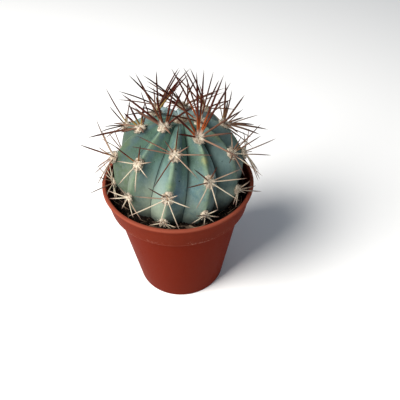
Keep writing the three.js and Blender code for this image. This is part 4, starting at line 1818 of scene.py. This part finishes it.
    def _try(self, areole: Areole, wish: Wish, radius: float,
             shade: float | None = None) -> None:
        """Place one spine, turned, lifted or shortened a little until it is clear.

        Args:
            areole: The areole that it grows from.
            wish: Its clock, lift and length.
            radius: Its root's radius.
            shade: How dark it is, where that is known.
        """
        clock, lift, _ = wish
        length = self._limited(areole, *wish)
        more = 0.0 if areole.age is Age.LOW else self.clearing_lift
        for attempt in range(self.tries):
            swing = self.swing * math.ceil(attempt / 2) * (1 if attempt % 2 else -1)
            raised = min(self.most_lift, lift + more * attempt)
            chosen = (clock + swing, raised, length * self.shorten ** (attempt / 2))
            line = self.line(areole, *chosen, self.line_steps)
            if self._clear(line, radius, areole):
                self.spines.append(Spine(areole, *chosen, radius, line, shade))
                return

    def _clear(self, line: Array, radius: float, areole: Areole) -> bool:
        """Return whether a spine keeps off the skin, soil, pot and other clusters.

        Args:
            line: Its middle line.
            radius: Its root's radius.
            areole: Its areole.

        Returns:
            Whether it does.
        """
        margin = self.clearance + radius
        tested = line[2:]
        world = self.stem.world(tested)
        if (world[:, 2] < self.stem.soil_level + self.soil_lump + margin).any():
            return False
        reach = np.hypot(world[:, 0], world[:, 1])
        at_rim = (world[:, 2] < self.pot.height + margin) & (reach < self.pot.rim_radius + margin)
        if (at_rim & (reach > self.pot.inside(world[:, 2]) - margin)).any():
            return False
        stem = self.stem
        height = np.maximum(-stem.base_depth, tested[:, 2])
        lower = height < stem.equator + stem.crown_height
        azimuth = np.degrees(np.arctan2(tested[:, 0], -tested[:, 1]))
        span = np.where(height > stem.equator, stem.crown_height, stem.base_depth)
        degrees = np.degrees(np.arcsin(np.clip((height - stem.equator) / span, -1, 1)))
        sink, rise, _ = stem.relief(azimuth, height, degrees)
        skin = stem.outline_radius(height) * (1 - sink) + rise + margin
        if (lower & (np.hypot(tested[:, 0], tested[:, 1]) < skin)).any():
            return False
        others = [s for s in self.spines if s.areole is not areole]
        if not others:
            return True
        points = np.stack([s.line for s in others])
        near = self.clearance + radius + np.array([s.radius for s in others])
        steps = points[:, None, :, :] - line[None, :, None, :]
        gaps = np.linalg.norm(steps, axis=-1).min(axis=(1, 2))
        return not (gaps < near).any()


def aim(clock: float, lift: float) -> Array:
    """Return a spine's direction from its areole, as shares of up, right and out."""
    turn, rise = math.radians(clock), math.radians(lift)
    return np.array([
        math.cos(rise) * math.cos(turn), math.cos(rise) * math.sin(turn), math.sin(rise)])


def wobble(n: int) -> float:
    """Return a repeatable number from -1 to 1 for a whole number."""
    raw = math.sin(n * 12.9898 + 4.1414) * 43758.5453
    return 2 * (raw - math.floor(raw)) - 1


def strand_tree(material: bpy.types.Material, name: str, sides: int) -> GeometryTree:
    """Build a tree that gives drawn lines a round, tapering body.

    Args:
        material: The strands' finish.
        name: The tree's name.
        sides: The sides of a body.

    Returns:
        The tree, with inputs Sides and Thickness.
    """
    tree = GeometryTree(name)
    count = tree.size("Sides", sides)
    thickness = tree.size("Thickness", 1.0)
    line = tree.node("GeometryNodeMeshToCurve", {}, {"Mesh": tree.geometry})
    tree.close(tree.tube(line, 1.0, count, tree.times_named(thickness, "thickness")), material)
    return tree


def steps_of(count: int) -> Array:
    """Return the edges of a line of points."""
    return np.stack([np.arange(count), np.arange(count) + 1], 1)


# How translucent the roots of some young clusters are, and how orange rather than olive
WARM_ROOTS: dict[str, tuple[float, float]] = {
    "areole_rib02_1": (1.0, 1.0), "areole_rib03_1": (1.0, 1.0), "areole_rib04_1": (0.4, 0.3),
    "areole_rib05_1": (0.6, 0.6), "areole_rib08_1": (0.6, 0.1), "areole_rib08_2": (1.0, 0.0),
    "areole_rib09_1": (0.7, 0.1), "areole_rib10_1": (0.1, 0.6),
}


@dataclass
class Spines:
    """The finer spines, which follow the same lines as the solid ones."""

    rule: SpineRule
    steps: int = 10
    sides: int = 8
    default_warmth: tuple[float, float] = (0.35, 0.4)
    crown_slimness: float = 0.8
    far_slimness: float = 0.54
    flank_slimness: float = 0.53
    end_share: float = 0.99
    tip_share: float = 0.03
    body_share: float = 0.92
    taper: float = 0.9
    taper_power: int = 6
    root_flare: float = 0.6
    flare_length: float = 0.06
    darker_thicker: float = 0.25
    tan_more: float = 0.8
    tan_side: Span = (6.0, 14.0)
    warm_lift: float = 38.0
    flat_warmth: float = 0.15
    central_lift: float = 42.0
    first_draw: int = 5003

    def build(self) -> None:
        """Build the crown's dark spines and the flanks' pale ones."""
        finish = SpineFinish().build()
        tree = strand_tree(finish, "spine_bodies", self.sides)
        kinds = (("crown_spines", "spines_dark", True), ("flank_spines", "spines_pale", False))
        for name, slot, dark in kinds:
            chosen = [
                s for s in self.rule.spines
                if (s.areole.distance < self.rule.dark_end) == dark
            ]
            maker = MeshMaker()
            for spine in chosen:
                self._draw(maker, spine, self.rule.spines.index(spine))
            piece = place_object(name, tree.run(maker.mesh(name + "_lines"), name))
            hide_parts(*sorted({s.areole.name for s in chosen}))

    def _draw(self, maker: MeshMaker, spine: Spine, number: int) -> None:
        """Draw one spine's line with its thickness and its numbers for the finish.

        Args:
            maker: What the line goes into.
            spine: The spine.
            number: Its number, for its own tone.
        """
        areole = spine.areole
        length = spine.length * self.end_share
        line = self.rule.line(areole, spine.clock, spine.lift, length, self.steps)
        share = np.arange(self.steps + 1) / self.steps
        flare = 1 + self.root_flare * np.exp(-((share / self.flare_length) ** 2))
        body = self.body_share - self.taper * share**self.taper_power
        taper = np.maximum(self.tip_share, body) * flare
        taper[-1] = self.tip_share
        in_crown = areole.distance < self.rule.crown_end
        slimness = self.crown_slimness if in_crown else self.flank_slimness
        if areole.name not in OWN_STARS and areole.age is Age.CROWN:
            slimness = self.far_slimness
        drawn = 0.5 + 0.5 * wobble(self.first_draw + number)
        dark = self._darkness(spine, drawn)
        warm, ember = WARM_ROOTS.get(areole.name, self.default_warmth)
        maker.add(
            self.rule.stem.world(line), edges=steps_of(self.steps), along=share, dark=dark,
            warm=warm * (self.flat_warmth if spine.lift < self.warm_lift else 1.0),
            ember=ember,
            tone=drawn + self.tan_more * float(smooth(areole.place[0], *self.tan_side)),
            thickness=spine.radius * slimness * (1 + self.darker_thicker * dark) * taper * MM,
        )

    def _darkness(self, spine: Spine, tone: float) -> float:
        """Return how dark a spine is.

        Args:
            spine: The spine.
            tone: A number of its own from 0 to 1.

        Returns:
            The shade, from 0 for ivory over 0.5 for rose-brown to 1 for red-brown.
        """
        if spine.shade is not None:
            return spine.shade
        central = spine.lift > self.central_lift
        if spine.areole.age in (Age.APEX, Age.CROWN):
            return 1.0 if abs(spine.clock) < 95 or central else 0.55 + 0.4 * tone
        if spine.areole.age is Age.SHOULDER:
            return 1.0 if central else 0.3 + (0.4 if abs(spine.clock) < 100 else 0.25) * tone
        return 0.55 if central else 0.2 * tone


@dataclass
class Wool:
    """The felted cushions, with fine hairs standing out of them."""

    rule: SpineRule
    columns: int = 32
    rings: int = 16
    hairs_per_mm2: float = 6.5
    hair_length: float = 0.75
    hair_radius: float = 0.04
    fullness: float = 1.08
    height_share: float = 0.66
    lump_base: float = 0.92
    lump_size: float = 0.28
    lump_scale: float = 2.3
    lump_octaves: int = 4
    pit_band: Span = (-0.05, 0.4)
    apex_tone: float = 0.9
    first_draw: int = 71
    hair_bend: float = 0.62
    hair_sweep: float = 0.55
    hair_sunk: float = 0.2
    hair_tilt: float = 0.75
    half_turn: float = 3.14
    hair_range: Span = (0.5, 1.15)
    seed: int = 11

    def build(self) -> None:
        """Build all the wool as one piece."""
        finish = WoolFinish().build()
        maker = MeshMaker()
        for number, areole in enumerate(self.rule.areoles):
            self._cushion(maker, areole, number)
        mesh = self._tree(finish).run(maker.mesh("cushions"), "areole_wool")
        piece = place_object("areole_wool", mesh)
        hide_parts(*sorted(a.name for a in self.rule.areoles))

    def _cushion(self, maker: MeshMaker, areole: Areole, number: int) -> None:
        """Add one lumpy cushion.

        Args:
            maker: What the cushion goes into.
            areole: Its areole.
            number: Its number, for its own lumps and tone.
        """
        polar, around = np.meshgrid(
            np.pi * np.arange(1, self.rings) / self.rings, round_angles(self.columns),
            indexing="ij",
        )
        flat = np.sin(polar)
        ball = np.stack([flat * np.cos(around), flat * np.sin(around), np.cos(polar)], -1)
        ball = np.concatenate([[[0, 0, 1.0]], ball.reshape(-1, 3), [[0, 0, -1.0]]])
        rough = fractal(ball, self.lump_scale, self.lump_octaves, 7.3 * number)
        height = self.height_share * areole.height
        size = np.array([areole.half_width, areole.half_length, height]) * self.fullness
        points = ball * (self.lump_base + self.lump_size * rough)[:, None] * size
        frame = np.stack([areole.right, areole.up, areole.out])
        tone = 0.25 * (0.5 + 0.5 * wobble(self.first_draw + number))
        maker.add(
            self.rule.stem.world(areole.place + points @ frame),
            closed_grid(self.rings - 1, self.columns),
            hairy=np.clip((ball[:, 2] + 0.05) * 3, 0, 1),
            tone=self.apex_tone if areole.age is Age.APEX else tone,
            pit=smooth(-rough, *self.pit_band),
        )

    def _tree(self, material: bpy.types.Material) -> GeometryTree:
        """Build the tree that scatters hairs over the cushions.

        Args:
            material: The wool's finish.

        Returns:
            The tree.
        """
        tree = GeometryTree("wool_hairs")
        density = tree.size("Density", self.hairs_per_mm2 / MM**2)
        length = tree.size("Hair length", self.hair_length * MM)
        radius = tree.size("Hair radius", self.hair_radius * MM)
        seed = tree.size("Seed", self.seed)
        scatter = tree.scatter(density, "hairy", seed)
        sweep, bend = tree.times(length, self.hair_sweep), tree.times(length, self.hair_bend)
        line = tree.node(
            "GeometryNodeCurveQuadraticBezier", {},
            {"Resolution": 3, "Start": (0.0, 0.0, -self.hair_sunk * MM),
             "Middle": tree.node("ShaderNodeCombineXYZ", {}, {"Z": bend}),
             "End": tree.node("ShaderNodeCombineXYZ", {}, {"X": sweep, "Z": length})},
        )
        most = (self.hair_tilt, self.hair_tilt, self.half_turn)
        least = tuple(-angle for angle in most)
        tilt = tree.random_vector(least, most, seed)
        rotation = tree.node(
            "FunctionNodeRotateRotation", {"rotation_space": "LOCAL"},
            {"Rotation": scatter.outputs["Rotation"],
             "Rotate By": tree.node("FunctionNodeEulerToRotation", {}, {0: tilt})},
        )
        stretch = tree.random(*self.hair_range, seed)
        hairs = tree.node(
            "GeometryNodeInstanceOnPoints", {},
            {"Points": scatter.outputs["Points"], "Instance": tree.tube(line, radius, 3),
             "Rotation": rotation,
             "Scale": tree.node("ShaderNodeCombineXYZ", {}, {"X": 1.0, "Y": 1.0, "Z": stretch})},
        )
        tree.close([tree.geometry, hairs], material)
        return tree


@dataclass
class Soil:
    """The potting soil: a lumpy body with a hole for the stem, loose crumbs and fibres."""

    stem: StemForm
    pot: PotForm
    level: float = 43.6
    gap: float = 0.25
    hole_gap: float = 0.3
    columns: int = 180
    hole_rings: int = 26
    top_rings: int = 16
    lumps: tuple[tuple[float, int, float, float], ...] = (
        (0.33, 3, 2.0, 0.7), (1.2, 2, 5.0, 0.22),
    )
    lump_limits: Span = (-0.7, 0.75)
    edge_drop: float = 0.25
    crumbs_per_mm2: float = 5.0
    crumb_radius: float = 0.42
    least_crumb: Point = (0.35, 0.35, 0.3)
    most_crumb: Point = (1.5, 1.2, 1.1)
    half_turn: float = 3.14
    size_seed: int = 23
    tone_seed: int = 31
    fibres: int = 90
    fibre_sides: int = 5
    fibre_steps: int = 6
    fibre_radius: Span = (0.05, 0.13)
    fibre_span: Span = (4.0, 14.0)
    fibre_arch: Span = (0.1, 0.7)
    fibre_lift: float = 0.25
    seed: int = 5

    def build(self) -> None:
        """Build the soil and its fibres."""
        finish = SoilFinish().build()
        mesh = self._tree(finish).run(self._body(), "potting_soil")
        piece = place_object("potting_soil", mesh)
        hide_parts("soil")
        self._build_fibres()

    def _edges(self, azimuth: Array) -> tuple[Array, Array]:
        """Find the edge of the hole for the stem at the soil line.

        Args:
            azimuth: Azimuths in degrees.

        Returns:
            The edge's points, and their angles on the stem's outline.
        """
        degrees = np.linspace(10, -60, 141)
        points = self._hole(*np.meshgrid(azimuth, degrees))
        row = np.argmin(np.abs(points[..., 2] - self.level), axis=0)
        return points[row, np.arange(len(azimuth))], degrees[row]

    def _hole(self, azimuth: Array, degrees: Array) -> Array:
        """Return points of the hole's wall, which follows the twisted skin."""
        twist = self.stem.twist * (self.stem.outline(degrees)[1] - self.stem.equator)
        return self.stem.world(self.stem.skin(azimuth + twist, degrees, self.hole_gap)[0])

    def _body(self) -> bpy.types.Mesh:
        """Make the soil's closed body.

        Returns:
            The body, from the hole's foot over the lumpy top and down the wall to the floor.
        """
        azimuth = np.linspace(0, 360, self.columns, endpoint=False)
        edge, start = self._edges(azimuth)
        angle = np.arctan2(edge[:, 1], edge[:, 0])
        inner = np.hypot(edge[:, 0], edge[:, 1])
        deepest = (np.array([0.0]), np.array([-90.0]))
        pole = self.stem.world(self.stem.skin(*deepest, self.hole_gap)[0])
        rings = [self._hole(azimuth, -90 + (start + 90) * t)
                 for t in np.linspace(0.04, 1, self.hole_rings)]
        tops = [0.0] * len(rings)
        outer = float(self.pot.inside(self.level)) - self.gap
        for t in np.linspace(0.06, 0.97, self.top_rings):
            ring = level_ring(angle, inner + (outer - inner) * t, self.level)
            lump = sum(fractal(ring, scale, octaves, offset) * height
                       for scale, octaves, offset, height in self.lumps)
            ring[:, 2] += np.clip(lump, *self.lump_limits) * min(1.0, 6 * (1 - t))
            ring[:, 2] -= self.edge_drop * smooth(t, 0.8, 1.0)
            rings.append(ring)
            tops.append(1.0 if t < 0.93 else 0.0)
        foot = self.pot.height - self.pot.band_height
        wall, floor = self.pot.wall, self.pot.floor_top
        for height, inset in (
            (self.level - 0.6, 0.0), (foot + wall, 0.0), (foot - wall - 0.3, 0.0),
            (foot * 0.5, 0.0), (floor + 0.9, 0.0), (floor + 0.1, 0.9), (floor + 0.02, 6.0),
        ):
            radius = float(self.pot.inside(height)) - self.gap - inset
            rings.append(level_ring(angle, radius, height))
            tops.append(0.0)
        points = np.concatenate([pole, *rings, [[0, 0, floor + 0.02]]])
        top = with_ends(np.repeat(tops, self.columns), 0.0, 0.0)
        maker = MeshMaker()
        maker.add(points, closed_grid(len(rings), self.columns), top=top, tone=0.0)
        made = maker.mesh("soil_body")
        recalculate(made)
        return made

    def _tree(self, material: bpy.types.Material) -> GeometryTree:
        """Build the tree that strews crumbs over the soil.

        Args:
            material: The soil's finish.

        Returns:
            The tree.
        """
        tree = GeometryTree("soil_crumbs")
        density = tree.size("Density", self.crumbs_per_mm2 / MM**2)
        radius = tree.size("Crumb radius", self.crumb_radius * MM)
        seed = tree.size("Seed", self.seed)
        scatter = tree.scatter(density, "top", seed)
        half = (self.half_turn,) * 3
        spin = tree.random_vector(tuple(-angle for angle in half), half, seed)
        crumbs = tree.node(
            "GeometryNodeInstanceOnPoints", {},
            {"Points": scatter.outputs["Points"],
             "Instance": tree.node(
                 "GeometryNodeMeshIcoSphere", {}, {"Radius": radius, "Subdivisions": 1}),
             "Rotation": tree.node("FunctionNodeEulerToRotation", {}, {0: spin}),
             "Scale": tree.random_vector(self.least_crumb, self.most_crumb, self.size_seed)},
        )
        toned = tree.node(
            "GeometryNodeStoreNamedAttribute", {"data_type": "FLOAT", "domain": "INSTANCE"},
            {"Geometry": crumbs, "Name": "tone",
             "Value": tree.random(0.0, 1.0, self.tone_seed)},
        )
        tree.close([tree.geometry, toned], material)
        return tree

    def _build_fibres(self) -> None:
        """Build the fibres that lie on the soil between the stem and the wall."""
        rng = np.random.default_rng(self.seed)
        maker = MeshMaker()
        outer = float(self.pot.inside(self.level)) - self.gap - 0.5
        count = self.fibre_steps + 1
        for _ in range(self.fibres):
            start = rng.uniform(0, 360)
            span = rng.uniform(*self.fibre_span) * rng.choice([-1, 1])
            edge, _ = self._edges(start + span * np.linspace(0, 1, count))
            inner = np.hypot(edge[:, 0], edge[:, 1]) + 0.15
            angle = np.arctan2(edge[:, 1], edge[:, 0])
            share = rng.uniform(0.1, 0.9) + np.linspace(0, rng.uniform(-0.5, 0.5), count)
            radius = inner + (outer - inner) * np.clip(share, 0.05, 0.95)
            arch = rng.uniform(*self.fibre_arch) * np.sin(np.linspace(0, math.pi, count))
            line = np.column_stack([radius * np.cos(angle), radius * np.sin(angle),
                                    self.level + self.fibre_lift + arch])
            maker.add(
                line, edges=steps_of(self.fibre_steps),
                thickness=rng.uniform(*self.fibre_radius) * MM, tone=rng.uniform(),
            )
        tree = strand_tree(FibreFinish().build(), "fibre_bodies", self.fibre_sides)
        piece = place_object("soil_fibres", tree.run(maker.mesh("fibre_lines"), "soil_fibres"))


@dataclass(frozen=True)
class Lamp:
    """A soft square light: where it stands, its power, its side and its colour."""

    name: str
    place: Point
    watts: float
    side: float
    tone: Colour


@dataclass
class Studio:
    """The floor, the soft light and the camera at the photograph's angle."""

    camera_place: Point = (7.95, -121.6, 147.67)
    camera_tilt: float = 47.6
    lens: float = 38.7
    sensor: float = 36.0
    world_tone: Colour = (0.78, 0.88, 1.0)
    world_strength: float = 0.25
    key: Lamp = Lamp("key", (-458.0, -284.0, 522.0), 12.0, 460.0, (1.0, 0.975, 0.93))
    fill: Lamp = Lamp("fill", (380.0, -420.0, 260.0), 0.2, 500.0, (0.82, 0.9, 1.0))
    lit_height: float = 50.0
    floor_half: float = 1500.0
    clip_start: float = 5.0

    def build(self) -> None:
        """Build the stage."""
        floor = bpy.data.meshes.new("floor")
        half = self.floor_half * MM
        corners = [(-half, -half, 0), (half, -half, 0), (half, half, 0), (-half, half, 0)]
        floor.from_pydata(corners, [], [(0, 1, 2, 3)])
        floor.materials.append(FloorFinish().build())
        ground = bpy.data.objects.new("floor", floor)
        bpy.context.scene.collection.objects.link(ground)
        self._world()
        for lamp in (self.key, self.fill):
            self._light(lamp)
        self._camera()

    def _world(self) -> None:
        """Give the scene a soft sky."""
        world = bpy.data.worlds.new("soft_sky")
        bpy.context.scene.world = world
        world.use_nodes = True
        background = world.node_tree.nodes["Background"]
        background.inputs["Color"].default_value = (*self.world_tone, 1.0)
        background.inputs["Strength"].default_value = self.world_strength

    def _light(self, lamp: Lamp) -> None:
        """Add a light that faces the plant.

        Args:
            lamp: The light's name and numbers.
        """
        data = bpy.data.lights.new(lamp.name, "AREA")
        data.energy = lamp.watts
        data.size = lamp.side * MM
        data.color = lamp.tone
        light = bpy.data.objects.new(lamp.name, data)
        light.location = Vector(lamp.place) * MM
        ray = Vector((0.0, 0.0, self.lit_height)) * MM - light.location
        light.rotation_euler = ray.to_track_quat("-Z", "Y").to_euler()
        bpy.context.scene.collection.objects.link(light)

    def _camera(self) -> None:
        """Add the camera."""
        data = bpy.data.cameras.new("camera")
        data.lens = self.lens
        data.sensor_width = self.sensor
        data.clip_start = self.clip_start * MM
        camera = bpy.data.objects.new("camera", data)
        camera.location = Vector(self.camera_place) * MM
        camera.rotation_euler = (math.radians(self.camera_tilt), 0.0, 0.0)
        bpy.context.scene.collection.objects.link(camera)
        bpy.context.scene.camera = camera


def main() -> None:
    """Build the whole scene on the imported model."""
    logging.basicConfig(level=logging.INFO, format="%(message)s")
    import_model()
    bpy.context.scene.view_settings.view_transform = "Standard"

    pot = PotForm()
    piece = place_object("nursery_pot", pot.mesh(), PlasticFinish().build())
    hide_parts("pot")

    stem = StemForm()
    piece = place_object("ribbed_stem", stem.mesh(), SkinFinish().build())
    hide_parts("stem")

    Soil(stem, pot).build()

    rule = SpineRule(stem, pot)
    rule.grow()
    LOG.info("%d areoles, %d spines", len(rule.areoles), len(rule.spines))
    Wool(rule).build()
    Spines(rule).build()

    Studio().build()


if __name__ == "__main__":
    main()
